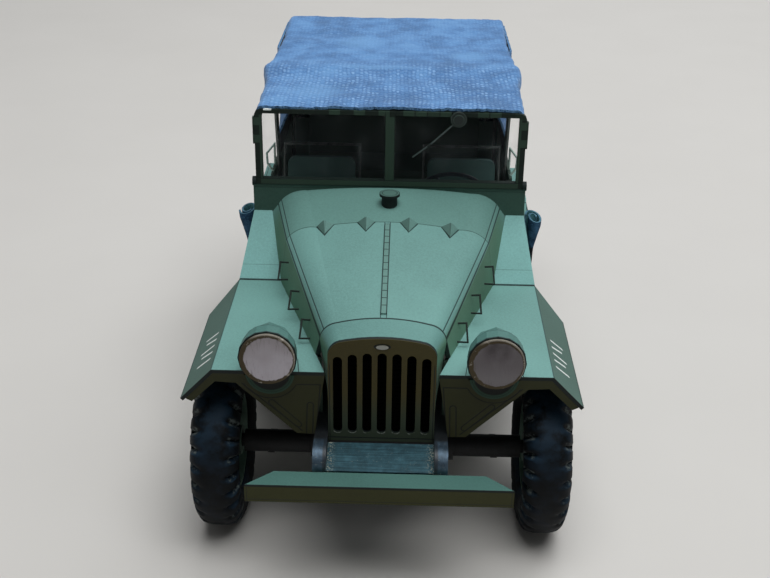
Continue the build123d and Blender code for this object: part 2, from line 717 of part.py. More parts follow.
def disc(bore_r):
    w = TYRE_W / 2 - 1.3
    profile = Polyline(
        (-w, RIM_R - 0.02),
        (w, RIM_R - 0.02),
        (w, RIM_R - 0.7),
        (0.6, RIM_R - 1.1),
        (1.5, 5.2),
        (1.5, 2.8),
        (w + 0.7, 2.3),
        (w + 0.7, bore_r),
        (-w - 0.2, bore_r),
        (-w - 0.2, 2.6),
        (0.5, 2.8),
        (-0.2, RIM_R - 1.1),
        (-w, RIM_R - 0.7),
        close=True,
    )
    return revolve(make_face(profile), Axis.X)


WHEELS = [
    ("front_left", 1, 0.0),
    ("front_right", -1, 0.0),
    ("rear_left", 1, WHEELBASE),
    ("rear_right", -1, WHEELBASE),
]
road_tyre = tyre()
road_disc = disc(STUB_R + STUB_GAP)
for name, side, y in WHEELS:
    place = Pos(side * TRACK / 2, y, AXLE_Z)
    turned = road_disc if side > 0 else flip(road_disc)
    save("tyre_" + name, place * road_tyre)
    save("wheel_" + name, place * turned)

# Spare wheel on the back
SPARE_Z = 36.5
SPARE_Y = WHEELBASE + REAR_OVERHANG - TYRE_W / 2
spare_place = Pos(0, SPARE_Y, SPARE_Z) * Rot(0, 0, 90)
save("tyre_spare", spare_place * road_tyre)
carrier = round_y(0, TAIL_Y + GAP, SPARE_Y + 4.0, SPARE_Z, STUB_R)
carrier += block(-5.0, 5.0, TAIL_Y + GAP, TAIL_Y + 1.3, SPARE_Z - 5.0, SPARE_Z + 5.0)
save("wheel_spare", spare_place * disc(STUB_R) + carrier)
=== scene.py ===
# %% [markdown]
# # A card model of an army 4x4 car
# The object is a small model, about 134 mm long, folded and glued from printed card.
# Its top is real blue denim and its catches and roof bows are wire. The construction is
# loaded as a fixed frame; this lesson adds the finishes, the cloth, the tyres and the
# many small marks that show the model was cut and glued by hand.

# %% Load the frame
import functools
import math

import bpy
from mathutils import Matrix, Vector, noise


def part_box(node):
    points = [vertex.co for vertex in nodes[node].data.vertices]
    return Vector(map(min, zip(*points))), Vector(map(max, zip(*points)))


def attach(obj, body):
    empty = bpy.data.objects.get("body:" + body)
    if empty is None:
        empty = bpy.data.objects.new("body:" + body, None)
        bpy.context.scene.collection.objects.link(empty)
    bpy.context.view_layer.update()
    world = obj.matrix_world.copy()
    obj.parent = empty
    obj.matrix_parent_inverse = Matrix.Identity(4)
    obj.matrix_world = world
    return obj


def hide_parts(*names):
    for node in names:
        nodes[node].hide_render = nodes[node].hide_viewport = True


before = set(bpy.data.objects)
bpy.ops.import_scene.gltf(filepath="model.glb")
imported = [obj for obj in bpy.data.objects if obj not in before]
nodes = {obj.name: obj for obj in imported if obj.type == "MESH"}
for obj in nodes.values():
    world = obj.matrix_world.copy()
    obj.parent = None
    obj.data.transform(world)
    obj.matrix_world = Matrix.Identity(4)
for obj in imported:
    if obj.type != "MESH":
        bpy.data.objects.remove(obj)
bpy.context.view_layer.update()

scene = bpy.context.scene
MM = 0.001
noise.seed_set(5)         # without a seed the vector noise starts from the clock

# %% [markdown]
# The model is measured backwards from its front axle, so that a height or a station on
# the real car can be read off directly. Everything in the scene is in metres, and one
# helper turns millimetres from the front axle on the table into a scene point.

# %% Stations
wheel_low, wheel_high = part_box("tyre_front_left")
AXLE_Y = (wheel_low.y + wheel_high.y) / 2 / MM
TYRE_R = (wheel_high.z - wheel_low.z) / 2 / MM
TYRE_W = (wheel_high.x - wheel_low.x) / MM
WHEEL_X = (wheel_low.x + wheel_high.x) / 2 / MM


def at(x, y, z):
    return Vector((x, y + AXLE_Y, z)) * MM


def span(node):
    # lowest and highest corner of a frame node, in millimetres from the front axle
    low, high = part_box(node)
    shift = Vector((0, AXLE_Y, 0))
    return low / MM - shift, high / MM - shift


REAR_AXLE = sum(span("tyre_rear_left"), Vector()).y / 2
print("tyre radius", round(TYRE_R, 2), "width", round(TYRE_W, 2), "rear axle at", round(REAR_AXLE, 2))

# %% [markdown]
# ## Camera and light
# The photograph looks down on the bonnet from in front, with a short telephoto view. The
# light comes from a window behind and above the model, so its tops are bright and the
# faces turned to the camera are dim. Two big soft lamps and a weak front lamp do that, and
# the upright faces are also painted darker as shade.

# %% Camera
PHOTO_W = 770
FOCAL_PIXELS = 1156.0
EYE = at(3.2, -173.5, 130.9)
YAW, PITCH, ROLL = math.radians(-1.03), math.radians(26.14), math.radians(0.83)

look = Vector((math.sin(YAW) * math.cos(PITCH), math.cos(YAW) * math.cos(PITCH), -math.sin(PITCH)))
side = Vector((math.cos(YAW), -math.sin(YAW), 0))
rise = side.cross(look)
side, rise = (
    side * math.cos(ROLL) + rise * math.sin(ROLL),
    rise * math.cos(ROLL) - side * math.sin(ROLL),
)
lens = bpy.data.cameras.new("camera")
lens.sensor_width = 36.0
lens.lens = FOCAL_PIXELS / PHOTO_W * lens.sensor_width
lens.clip_start = 0.01
camera = bpy.data.objects.new("camera", lens)
camera.matrix_world = Matrix.Translation(EYE) @ Matrix((side, rise, -look)).transposed().to_4x4()
scene.collection.objects.link(camera)
scene.camera = camera
print("lens", round(lens.lens, 1), "mm")

# %% [markdown]
# A lamp's size decides how soft its shadows are. Large area lamps stand in for a window
# and a lit ceiling, and their strengths are set so that a colour renders about as it is
# written. A little light from all round keeps the wheel arches from going quite black.

# %% Lights
LIGHTS = [
    ("window", (0.25, 0.65, 0.75), 0.9, 4.6, (0.95, 0.98, 1.0)),
    ("ceiling", (0.12, -0.22, 1.02), 0.8, 9.1, (0.97, 0.99, 1.0)),
    ("front", (-0.10, -1.00, 0.25), 0.8, 0.11, (1.0, 0.97, 0.92)),
]
for title, place, size, power, tint in LIGHTS:
    lamp = bpy.data.lights.new(title, "AREA")
    lamp.size, lamp.energy, lamp.color = size, power, tint
    holder = bpy.data.objects.new(title, lamp)
    holder.location = place
    holder.rotation_euler = (-Vector(place)).to_track_quat("-Z", "Y").to_euler()
    scene.collection.objects.link(holder)

scene.view_settings.view_transform = "Standard"
world = bpy.data.worlds.new("room")
scene.world = world
world.use_nodes = True
air = world.node_tree.nodes["Background"]
air.inputs["Color"].default_value = (0.86, 0.88, 0.90, 1)
air.inputs["Strength"].default_value = 0.125
print("lamps", [row[0] for row in LIGHTS])

# %% [markdown]
# ## Writing materials as sums
# Every finish here is worked out by nodes from the place on the model, in millimetres.
# A small class wraps a socket, so that masks can be written as ordinary sums: a printed
# line, for instance, is one minus a step on the distance from it.

# %% Values that add up
class Value:
    """The output of a shader node, which can be used in sums."""

    def __init__(self, paint, socket):
        self.paint, self.socket = paint, socket

    def step(self, low, high):
        # 0 below low, 1 above high, smooth between; low may be above high
        settings = {"interpolation_type": "SMOOTHSTEP"}
        return self.paint.node("ShaderNodeMapRange", settings, self, low, high, 0.0, 1.0)


def maths(operation, turned=False):
    # a method that adds one Math node; the reflected forms take their inputs turned round
    def method(value, *others):
        row = (*others, value) if turned else (value, *others)
        return value.paint.node("ShaderNodeMath", {"operation": operation}, *row)
    return method


OPERATIONS = {
    "__add__": "ADD", "__radd__": "ADD", "__mul__": "MULTIPLY", "__rmul__": "MULTIPLY",
    "__sub__": "SUBTRACT", "__truediv__": "DIVIDE", "__abs__": "ABSOLUTE",
    "least": "MINIMUM", "most": "MAXIMUM", "floor": "FLOOR", "part": "FRACT", "root": "SQRT",
    "turn": "ARCTAN2",
}
for name, operation in OPERATIONS.items():
    setattr(Value, name, maths(operation))
Value.__rsub__ = maths("SUBTRACT", turned=True)


def strongest(*masks):
    return functools.reduce(Value.most, masks)


def dim(colour, shade):
    return tuple(c * shade for c in colour)


print("kinds of sum", len(OPERATIONS) + 1)

# %% [markdown]
# A paint is one Principled shader with the nodes that feed it. It reads the place on the
# model in millimetres from the front axle, or from a wheel's own middle.

# %% Paint
class Paint:
    """A material under construction, with the place on the model in millimetres."""

    def __init__(self, title, centre=(0, 0, 0)):
        self.material = bpy.data.materials.new(title)
        self.material.use_nodes = True
        self.tree = self.material.node_tree
        self.tree.nodes.clear()
        self.skin = self.tree.nodes.new("ShaderNodeBsdfPrincipled")
        output = self.tree.nodes.new("ShaderNodeOutputMaterial")
        self.tree.links.new(self.skin.outputs[0], output.inputs["Surface"])
        place = self.node("ShaderNodeTexCoord", {}, output="Object")
        move = -Vector(centre) - Vector((0, AXLE_Y, 0))
        self.mm = self.mapped(place, move, (1 / MM,) * 3)
        self.x, self.y, self.z = self.split(self.mm)

    def node(self, kind, settings, *values, output=0, **named):
        made = self.tree.nodes.new(kind)
        for key, setting in settings.items():
            setattr(made, key, setting)
        for key, value in list(enumerate(values)) + list(named.items()):
            self.feed(made.inputs[key], value)
        return Value(self, made.outputs[output])

    def mapped(self, vector, move, scale):
        return self.node("ShaderNodeMapping", {"vector_type": "POINT"}, vector, move, (0, 0, 0), scale)

    def ramp(self, value, *stops):
        ramp = self.node("ShaderNodeValToRGB", {}, value)
        elements = ramp.socket.node.color_ramp.elements
        while len(elements) < len(stops):
            elements.new(0.5)
        for element, (place, colour) in zip(elements, stops):
            element.position = place
            element.color = (*colour, 1)
        return ramp

    def feed(self, socket, value):
        if isinstance(value, Value):
            self.tree.links.new(value.socket, socket)
        else:
            socket.default_value = value

    def split(self, vector):
        made = self.node("ShaderNodeSeparateXYZ", {}, vector).socket.node
        return [Value(self, s) for s in made.outputs]

    def grain(self, scale, detail=3.0, rough=0.55, vector=None, lift=0.0):
        named = {"W": lift, "Scale": scale, "Detail": detail, "Roughness": rough}
        return self.node("ShaderNodeTexNoise", {"noise_dimensions": "4D"}, vector or self.mm, **named)

    def chance(self, a, b=0.0):
        # a random number that stays the same for the same pair of numbers
        cell = self.node("ShaderNodeCombineXYZ", {}, a, b, 0.0)
        return self.node("ShaderNodeTexWhiteNoise", {"noise_dimensions": "2D"}, cell)

    def mix(self, share, first, second):
        made = self.tree.nodes.new("ShaderNodeMix")
        made.data_type = "RGBA"
        for index, value in ((0, share), (6, first), (7, second)):
            if isinstance(value, tuple) and len(value) == 3:
                value = (*value, 1)
            self.feed(made.inputs[index], value)
        return Value(self, made.outputs[2])

    def facing(self, axis):
        # how far the surface faces along one axis of the model
        return self.split(self.node("ShaderNodeTexCoord", {}, output="Normal"))["xyz".index(axis)]

    def reach(self, du, dv):
        return (du * du + dv * dv).root()

    def line(self, distance, width, soft=0.05):
        return 1 - abs(distance).step(width - soft, width + soft)

    def rings(self, radius, *table):
        # rings of given radius and half width round a middle
        return strongest(*(self.line(radius - ring, width) for ring, width in table))

    def along(self, u, v, start, end):
        # distance on a flat face from the line between two points
        du, dv = end[0] - start[0], end[1] - start[1]
        long = du * du + dv * dv
        share = (u - start[0]) * (du / long) + (v - start[1]) * (dv / long)
        share = share.most(0.0).least(1.0)
        return self.reach(u - start[0] - share * du, v - start[1] - share * dv)

    def finish(self, colour, rough, bump=None, depth=0.1, metal=0.0, **constants):
        self.feed(self.skin.inputs["Base Color"], colour)
        self.feed(self.skin.inputs["Roughness"], rough)
        self.feed(self.skin.inputs["Metallic"], metal)
        for key, value in constants.items():
            self.skin.inputs[key.replace("_", " ")].default_value = value
        if bump is not None:
            named = {"Strength": 1.0, "Distance": depth * MM, "Height": bump}
            self.feed(self.skin.inputs["Normal"], self.node("ShaderNodeBump", {}, **named))
        return self.material


def wear(material, *titles):
    # gives frame nodes their finish
    for title in titles:
        skins = nodes[title].data.materials
        skins.clear()
        skins.append(material)


print("frame pieces to finish", len(nodes))

# %% [markdown]
# ## Printed card
# The whole body is card printed in a pale grey-green, with seams and folds printed as
# thin dark lines. Up close the card shows a fine paper grain, slow changes of tone, small
# rubbed spots where the print has come off, and cut edges touched up with darker paint.

# %% Card finish
PALE_GREEN = (0.157, 0.326, 0.298)
# painted shade: the darker green that upright faces are mixed towards, standing in for their shade
SHADED_SIDE_GREEN = (0.108, 0.226, 0.152)
# painted shade: the olive of the fronts, which are the pale green card in shade
SHADED_OLIVE = (0.023, 0.025, 0.007)
LINE_INK = (0.005, 0.009, 0.010)
EDGE_GREEN = (0.030, 0.055, 0.040)
CARD_CORE, CORE_SHARE = (0.52, 0.50, 0.42), 0.45
CHALK = (0.72, 0.76, 0.74)


def card(title, colour, lines=None, edge=None, marks=None, worn=0.35, upright=None,
         edge_colour=EDGE_GREEN, ink_colour=LINE_INK):
    p = Paint(title)
    fibre = p.grain(2.6, 4.0, 0.7)
    speckle = p.grain(9.0, 2.0, 0.6)
    cloud = p.grain(0.045, 3.0, 0.5)
    tone = fibre * 0.38 + speckle * 0.20 + cloud * 0.42
    base = shades(p, tone, colour)
    # painted shade: faces that stand upright are mixed towards the darker upright colour
    if upright:
        base = p.mix(abs(p.facing("z")).step(0.55, 0.15), base, shades(p, tone, upright))
    rubbed = p.grain(0.9, 5.0, 0.75, lift=4.0).step(0.70, 0.78) * worn
    bare = tuple(c + (core - c) * CORE_SHARE for c, core in zip(colour, CARD_CORE))
    base = p.mix(rubbed, base, bare)
    height = fibre * 0.6 + speckle * 0.4
    # the edge mask paints touched-up cut edges, and on the wing and hinge cards painted shade as well
    if edge:
        base = p.mix(edge(p), base, edge_colour)
    if lines:
        ink = lines(p) * (0.72 + fibre * 0.4)
        base = p.mix(ink, base, ink_colour)
        height = height - ink * 0.8
    if marks:
        base = p.mix(marks(p), base, CHALK)
    rough = 0.54 + fibre * 0.18
    return p.finish(base, rough, height, 0.045, Specular_IOR_Level=0.25)


def shades(p, tone, colour):
    return p.ramp(tone, (0.40, dim(colour, 0.84)), (0.5, colour), (0.60, dim(colour, 1.13)))


def cut_edges(axis):
    # the cut edges of a card whose flat faces look along this axis
    return lambda p: abs(p.facing(axis)).step(0.40, 0.20)


print("pale green card", PALE_GREEN)

# %% [markdown]
# The bonnet carries a double line along each crease and a heavy seam where it meets the
# radiator shell. The lines follow the widening of the bonnet, so they are measured from
# its own half width, which grows steadily towards the windscreen.

# %% Bonnet, shell and scuttle
shell_low = span("radiator_shell")[0]
scuttle_low, scuttle_high = span("scuttle")
SHELL_Y, SEAM_Y, DASH_Y = span("bonnet")[0].y, scuttle_low.y, scuttle_high.y
# half widths at the shell, at the seam and at the dash
HALF_FRONT, HALF_BACK, HALF_SCREEN = 10.5, 18.7, 21.4


def double_line(p, y, half, back_y, back_half):
    # two lines beside an edge that spreads evenly from one station to another
    off = abs(p.x) - half - (p.y - y) * ((back_half - half) / (back_y - y))
    return strongest(p.line(off + 0.10, 0.07), p.line(off + 0.72, 0.06))


def bonnet_lines(p):
    crease = double_line(p, SHELL_Y, HALF_FRONT, SEAM_Y, HALF_BACK)
    gap = 0.13 + p.x.step(3.0, 8.0) * 0.09
    seam = 1 - abs(p.y - SHELL_Y - 0.05).step(0.05, gap + 0.06)
    strip = p.line(abs(p.x) - 0.50, 0.06) * p.y.step(SHELL_Y + 0.1, SHELL_Y + 0.2)
    return strongest(crease, seam, strip * p.z.step(42.0, 43.0))


def shell_lines(p):
    ragged = p.grain(1.3, 4.0, 0.7) * 0.24
    front = (p.y - ragged).step(shell_low.y + 0.16, shell_low.y + 0.06)
    seam = p.line(p.y - SHELL_Y + 0.1, 0.09)
    foot = p.line(p.z - shell_low.z - 0.8, 0.08)
    return strongest(front, seam * 0.9, foot)


def shell_foot(p):
    # low down, the front edge of the shell is brushed blue-grey
    front = p.y.step(shell_low.y + 0.9, shell_low.y + 0.5)
    return front * p.z.step(38.0, 33.0) * p.grain(0.9).step(0.3, 0.5)


def scuttle_lines(p):
    crease = double_line(p, SEAM_Y, HALF_BACK, DASH_Y, HALF_SCREEN)
    return strongest(crease, p.line(p.y - SEAM_Y - 0.02, 0.10) * 0.75)


# the bonnet, shell and scuttle carry painted shade on their upright faces
wear(card("bonnet card", PALE_GREEN, bonnet_lines, upright=SHADED_SIDE_GREEN), "bonnet")
shell = card(
    "shell card", (0.130, 0.280, 0.256), shell_lines, shell_foot, upright=SHADED_SIDE_GREEN,
    edge_colour=(0.036, 0.058, 0.066),
)
wear(shell, "radiator_shell")
wear(card("scuttle card", (0.128, 0.268, 0.238), scuttle_lines, upright=SHADED_SIDE_GREEN), "scuttle")
print("seam at", round(SEAM_Y, 1), "mm behind the axle, dash at", round(DASH_Y, 1), "mm")

# %% [markdown]
# A strip with printed rungs stands for the bonnet's long hinge, and four little folded
# pyramids cover its air vents. Their outlines are kites, so their ink is measured as a
# share of the way from a kite's middle to its border.

# %% Hinge strip and pyramids
RUNG = 1.95
STRIP_HALF = 0.55
KITES_X = (3.9, 11.4)     # middles of the pyramids on one side
KITE_HALF, KITE_BACK, KITE_FRONT = 1.9, 1.4, 3.4


def ladder(p):
    on_strip = abs(p.x).step(1.0, 0.9)
    rung = p.line((p.y / RUNG).part() - 0.5, 0.045, 0.02) * p.y.step(-4.6, -4.4)
    rails = abs(p.x).step(STRIP_HALF - 0.20, STRIP_HALF - 0.10)
    # each pyramid stands on a kite, with a dark line along its foot and over its ridges
    u = abs(abs(p.x) - sum(KITES_X) / 2) - (KITES_X[1] - KITES_X[0]) / 2
    dy = p.y - SEAM_Y
    kite = abs(u) / KITE_HALF + dy.most(0.0) / KITE_BACK + (0 - dy).most(0.0) / KITE_FRONT
    foot = kite.step(0.80, 0.87) * (1 - on_strip) * 0.9
    spine = strongest(p.line(u, 0.06), p.line(dy, 0.05)) * (1 - on_strip) * 0.4
    return strongest(strongest(rung, rails) * on_strip, foot, spine)


def shaded_left(p):
    return p.facing("x").step(-0.10, -0.30) * abs(p.x).step(1.0, 1.2) * 0.40


wear(card("hinge card", (0.132, 0.262, 0.232), ladder, shaded_left), "bonnet_trim")
print("rungs every", RUNG, "mm")

# %% [markdown]
# ## Wings, shoulders and sides
# The wing is one flat top with a folded skirt, and each skirt carries a row of plain
# white brush strokes. Its cut edges and all faces that do not look up are painted olive as
# shade, which the scene finds by the way they face, and the skirt is darkened part way.

# %% Wings
wing_low, wing_high = span("front_wing_left")
FOLD_X, WING_BACK = 27.8, wing_high.y
LAMP_X, LAMP_Y, LAMP_Z = 18.2, -11.8, 40.0
# start along the wing, lean, and how far down the skirt each stroke ends
STROKES = [(-6.2, 1.0, 4.9), (-3.9, 1.3, 4.4), (-1.6, 0.9, 5.0), (0.6, 1.4, 4.2), (2.9, 1.0, 4.7)]


def hoop(p, u, v, centre, radius, width):
    return p.line(p.reach(u - centre[0], v - centre[1]) - radius, width)


def wing_lines(p):
    wobble = p.grain(0.8, 3.0) * 0.30 - 0.15
    fold = p.line(abs(p.x) - FOLD_X, 0.10) * (0.80 + wobble)
    joint = p.line(p.y - WING_BACK + 0.10 + wobble * 0.7, 0.13)
    front = p.line(p.y - wing_low.y - 0.04, 0.10)
    beside = abs(abs(p.x) - LAMP_X) - 4.7 + (p.y - LAMP_Y) * 0.13
    rim = p.line(beside, 0.07) * p.y.step(-7.2, -7.8)
    hem = p.line(p.z - wing_low.z - 0.55, 0.08) * 0.8
    return strongest(fold, joint, front, rim, hem)


def brush_strokes(p):
    down = (abs(p.x) - FOLD_X) * 1.44      # along the slope of the skirt
    found = 0.0
    for start, lean, end in STROKES:
        stroke = p.line(p.along(p.y, down, (start, 1.6), (start + lean, end)), 0.24, 0.09)
        found = stroke.most(found)
    dry = p.grain(3.5, 3.0, 0.7).step(0.28, 0.44)
    return found * dry * p.facing("z").step(0.1, 0.3)


def wing_skirt_and_shade(p):
    # painted shade: the folded skirt is darkened part way to olive, and faces below and in front are
    # painted olive
    skirt = abs(p.x).step(FOLD_X + 0.02, FOLD_X + 0.12) * 0.62
    return strongest(skirt, p.facing("z").step(0.30, 0.10))


# painted shade: the olive that the wing's skirt and lower faces are mixed towards
wing = card(
    "wing card", PALE_GREEN, wing_lines, wing_skirt_and_shade, brush_strokes,
    edge_colour=(0.032, 0.040, 0.018),
)
wear(wing, "front_wing_left", "front_wing_right")
print("brush strokes on each skirt", len(STROKES))

# %% [markdown]
# The sides are flat cards, and their doors and lockers are only printed outlines. An
# outline with rounded corners is the distance from a smaller box, less the corner's
# radius, which is quicker to write than four lines and four arcs.

# %% Shoulders and outer sides
def shoulder_lines(p):
    return strongest(p.line(p.y - 24.6, 0.05) * 0.4, p.line(p.y - WING_BACK - 0.06, 0.12))


def box_line(p, u, v, low, high, width, corner=0.8):
    # outline of a rectangle with rounded corners on a flat face
    half_u, half_v = (high[0] - low[0]) / 2, (high[1] - low[1]) / 2
    du = (abs(u - (low[0] + half_u)) - (half_u - corner)).most(0.0)
    dv = (abs(v - (low[1] + half_v)) - (half_v - corner)).most(0.0)
    return p.line(p.reach(du, dv) - corner, width)


# two corners of each printed outline, back from the front axle or across, and up
LOCKER = (63.5, 35.6), (99.0, 41.4)
COWL = (25.5, 23.5), (36.6, 40.5)
DOOR = (37.2, 26.2), (61.8, 60.0)
TAILBOARD = (-19.0, 24.0), (19.0, 41.6)
PRESSING = (-16.8, 26.2), (16.8, 39.6)
REAR_LAMP = (22.6, 38.2)
TUB_BACK = 100.8          # the tub's rear face


def side_lines(p):
    hem = p.line(p.z - 42.2, 0.07)
    locker = box_line(p, p.y, p.z, *LOCKER, 0.08)
    cowl = box_line(p, p.y, p.z, *COWL, 0.08)
    door = box_line(p, p.y, p.z, *DOOR, 0.10, 3.6) * 0.9
    return strongest(hem, locker, cowl, door)


def back_lines(p):
    board = box_line(p, p.x, p.z, *TAILBOARD, 0.10, 1.2)
    pressing = box_line(p, p.x, p.z, *PRESSING, 0.07, 1.0) * 0.7
    straps = p.line(abs(p.x) - 14.0, 0.45) * p.line(p.z - 24.2, 1.6) * 0.5
    lamps = hoop(p, abs(p.x), p.z, REAR_LAMP, 1.1, 0.12)
    return strongest(board, pressing, straps, lamps) * p.y.step(TUB_BACK - 0.1, TUB_BACK + 0.1)


def rear_wing_lines(p):
    return strongest(p.line(abs(p.x) - 30.2, 0.07), p.line(p.z - 32.5, 0.07)) * 0.8


wear(card("shoulder card", (0.205, 0.435, 0.412), shoulder_lines), "shoulders")
TUB_GREEN = (0.135, 0.235, 0.190)
wear(card("side card", TUB_GREEN, side_lines, cut_edges("x")), "body_side_left", "body_side_right")
wear(card("back card", TUB_GREEN, back_lines, cut_edges("y")), "rear_panel")
# the rear wings carry painted shade on their upright faces
wear(card("rear wing card", PALE_GREEN, rear_wing_lines, upright=SHADED_SIDE_GREEN), "rear_wings")
wear(card("splash card", (0.120, 0.200, 0.150), edge=cut_edges("z")), "splash_boards_and_steps")
print("side locker", LOCKER[1][0] - LOCKER[0][0], "mm long")

# %% [markdown]
# ## The dark front
# The aprons and the grille are given a dark olive, a painted shade of the card's pale
# green. Two pressed ribs and a border that swings round the lamp are drawn on each apron,
# with a painted shadow under the lamp, and the knife left pale nicks at the bottom ends of
# the grille's slots, where the white core of the card shows.

# %% Aprons
FOOT = (LAMP_X, 36.0)     # middle of the lamp's printed foot
# start and end of a drawn line, and half the width of the rib round it
APRON_RIBS = [
    ((10.0, 33.9), (10.8, 24.4), 0.0), ((10.0, 33.9), (13.8, 33.9), 0.0), ((22.8, 33.9), (13.1, 25.0), 0.0),
    ((11.9, 24.0), (11.7, 30.0), 0.52), ((18.0, 30.4), (13.7, 26.2), 0.50),
]


def apron_lines_and_shadow(p):
    u, v = abs(p.x), p.z
    recess = hoop(p, u, v, FOOT, 4.75, 0.08) * v.step(34.0, 33.8)
    ribs = [p.line(p.along(u, v, start, end) - half, 0.10) for start, end, half in APRON_RIBS]
    ring = hoop(p, u, v, FOOT, 3.62, 0.05) * 0.6
    # painted shadow: a dark disc in ink under the lamp, where the drum's shadow falls
    shade = p.line(p.along(u, v, FOOT, (FOOT[0], FOOT[1] + 0.1)), 3.25, 0.25) * 1.4
    return strongest(recess, *ribs, ring, shade)


def lamp_foot(p):
    # the lamp's printed foot shows as a green crescent round the painted shadow under the lamp
    return hoop(p, abs(p.x), p.z, FOOT, 3.60, 0.42) * 0.9


apron = card(
    "apron card", SHADED_OLIVE, apron_lines_and_shadow, lamp_foot, worn=0.15, edge_colour=(0.018, 0.054, 0.036),
    ink_colour=(0.004, 0.006, 0.005),
)
wear(apron, "front_aprons")
print("lines and ribs on an apron", len(APRON_RIBS))

# %% [markdown]
# The grille is cut card over a black core. Its slots are holes in the frame already, so
# the finish adds the badge's blank oval, the printed border, the greener foot, and pale
# nicks where the knife turned at the bottom of each slot.

# %% Grille
SLOT_PITCH, SLOT_FOOT = 2.4, 25.75
BORDER_X, BORDER_Z = 8.5, 24.0      # the printed border at each side and at the foot
BADGE_Z, BADGE_WIDE, BADGE_HIGH = 41.3, 1.05, 0.42
GRILLE_Y = span("radiator_grille")[0].y


def badge(p):
    # 1 on the outline of an oval as wide and high as the badge, counted from its middle
    return p.reach(p.x / BADGE_WIDE, (p.z - BADGE_Z) / BADGE_HIGH)


def grille_lines(p):
    side = p.line(abs(p.x) - BORDER_X, 0.07) * p.z.step(38.5, 37.5)
    foot = p.line(p.z - BORDER_Z, 0.09)
    ring = p.line(badge(p) - 1.15, 0.16)
    inside = p.y.step(GRILLE_Y + 0.32, GRILLE_Y + 0.40)
    return strongest(side, foot, ring, inside)


def slot_nicks(p):
    u = ((p.x / SLOT_PITCH + 0.5).part() - 0.5) * SLOT_PITCH
    v = p.z - SLOT_FOOT
    ring = p.line(p.reach(u, v) - 0.80, 0.07) * v.step(-0.35, -0.6)
    ring = ring * p.y.step(GRILLE_Y + 0.22, GRILLE_Y + 0.16)
    return strongest(ring * p.grain(1.7, 2.0).step(0.42, 0.58), badge(p).step(1.0, 0.9) * 0.35)


def greener_foot(p):
    return p.z.step(34.0, 26.5) * 0.8


# painted shade: the grille's dark olive stands for the pale green card in shade
grille = card(
    "grille card", (0.048, 0.040, 0.011), grille_lines, greener_foot, slot_nicks, 0.1,
    edge_colour=(0.025, 0.043, 0.030),
)
wear(grille, "radiator_grille")


def radiator_card():
    # black card with fins that hardly show
    p = Paint("radiator card")
    fins = p.line((p.z / 0.8).part() - 0.5, 0.2, 0.2)
    base = p.mix(fins, (0.0006, 0.0008, 0.0005), (0.0020, 0.0024, 0.0016))
    return p.finish(base, 0.95, Specular_IOR_Level=0.0)


wear(radiator_card(), "radiator_core")
print("slot pitch", SLOT_PITCH, "mm")

# %% [markdown]
# The bumper is a folded box of green card whose upright face is painted olive as shade. The
# plate behind it and the ends of the frame were brushed with blue-grey metal paint. A noise
# stretched along the brush's way gives its streaks, and a coarse one the chips at the ends.

# %% Bumper, horns and the plate between them
BUMPER_OUT, BUMPER_TOP = 22.5, 21.3       # how far before the axle, and how high
BUMPER_HEM, BUMPER_END = 18.75, 21.2
# painted shade: behind HORN_BACK the rails are painted near black
HORN_BACK = -14.4                         # behind this the rails are black


def bumper_lines(p):
    front_edge = p.line(p.y + BUMPER_OUT, 0.12) * p.z.step(BUMPER_TOP - 0.3, BUMPER_TOP)
    hem = p.line(p.z - BUMPER_HEM, 0.06) * 0.8
    ends = p.line(abs(p.x) - BUMPER_END, 0.06) * 0.7
    return strongest(front_edge, hem, ends)


# painted shade: the bumper's upright faces get the darker olive
bumper = card("bumper card", (0.070, 0.168, 0.146), bumper_lines, upright=(0.033, 0.035, 0.009))
wear(bumper, "front_bumper")


def painted_metal(title, colour, streak=(0.12, 3.0, 3.0), chips=0.5, ends=None, shade=None):
    # card brushed with blue-grey metal paint, rubbed through at its edges
    p = Paint(title)
    brushed = p.grain(1.0, 4.0, 0.65, p.mapped(p.mm, (0, 0, 0), streak))
    mottled = p.grain(0.7, 4.0, 0.6)
    pale = tuple(c * 1.9 + 0.01 for c in colour)
    stops = (0.33, dim(colour, 0.45)), (0.50, colour), (0.72, pale)
    base = p.ramp(brushed * 0.55 + mottled * 0.45, *stops)
    chip = p.grain(2.2, 5.0, 0.8, lift=2.0).step(0.60, 0.66) * chips
    if ends:
        coarse = p.grain(3.4, 3.0, 0.7, lift=5.0).step(0.50, 0.60)
        chip = strongest(chip, coarse * abs(p.x).step(*ends) * 0.8)
    base = p.mix(chip, base, (0.36, 0.38, 0.31))
    rough = 0.34 + brushed * 0.28 + chip * 0.3
    metal = 0.55 - chip * 0.5
    # painted shade: where the shade mask is 1 the metal is painted near black
    if shade:
        base = p.mix(shade(p), base, (0.006, 0.008, 0.010))
        metal = metal * (1 - shade(p))
    return p.finish(base, rough, brushed + chip * 0.5, 0.05, metal)


plate = painted_metal("plate paint", (0.026, 0.078, 0.100), chips=0.25, ends=(7.2, 8.6))
wear(plate, "horn_plate")


def rail_shade(p):
    # painted shade: only the horns in front of the grille were brushed blue; behind them and on their inner
    # faces the rails are painted near black as shade
    return strongest(p.y.step(HORN_BACK - 0.8, HORN_BACK + 0.8), abs(p.x).step(9.5, 9.2) * 0.8)


RAILS = "frame_rail_left", "frame_rail_right"
wear(painted_metal("rail paint", (0.052, 0.085, 0.120), (1.5, 0.5, 1.5), 0.6, shade=rail_shade), *RAILS)
print("painted rails", len(RAILS))

# %% [markdown]
# Everything under the body was brushed black, so one paint does for all of it, with dust
# where the brush left it rough. The cab's inside is bare printed card.

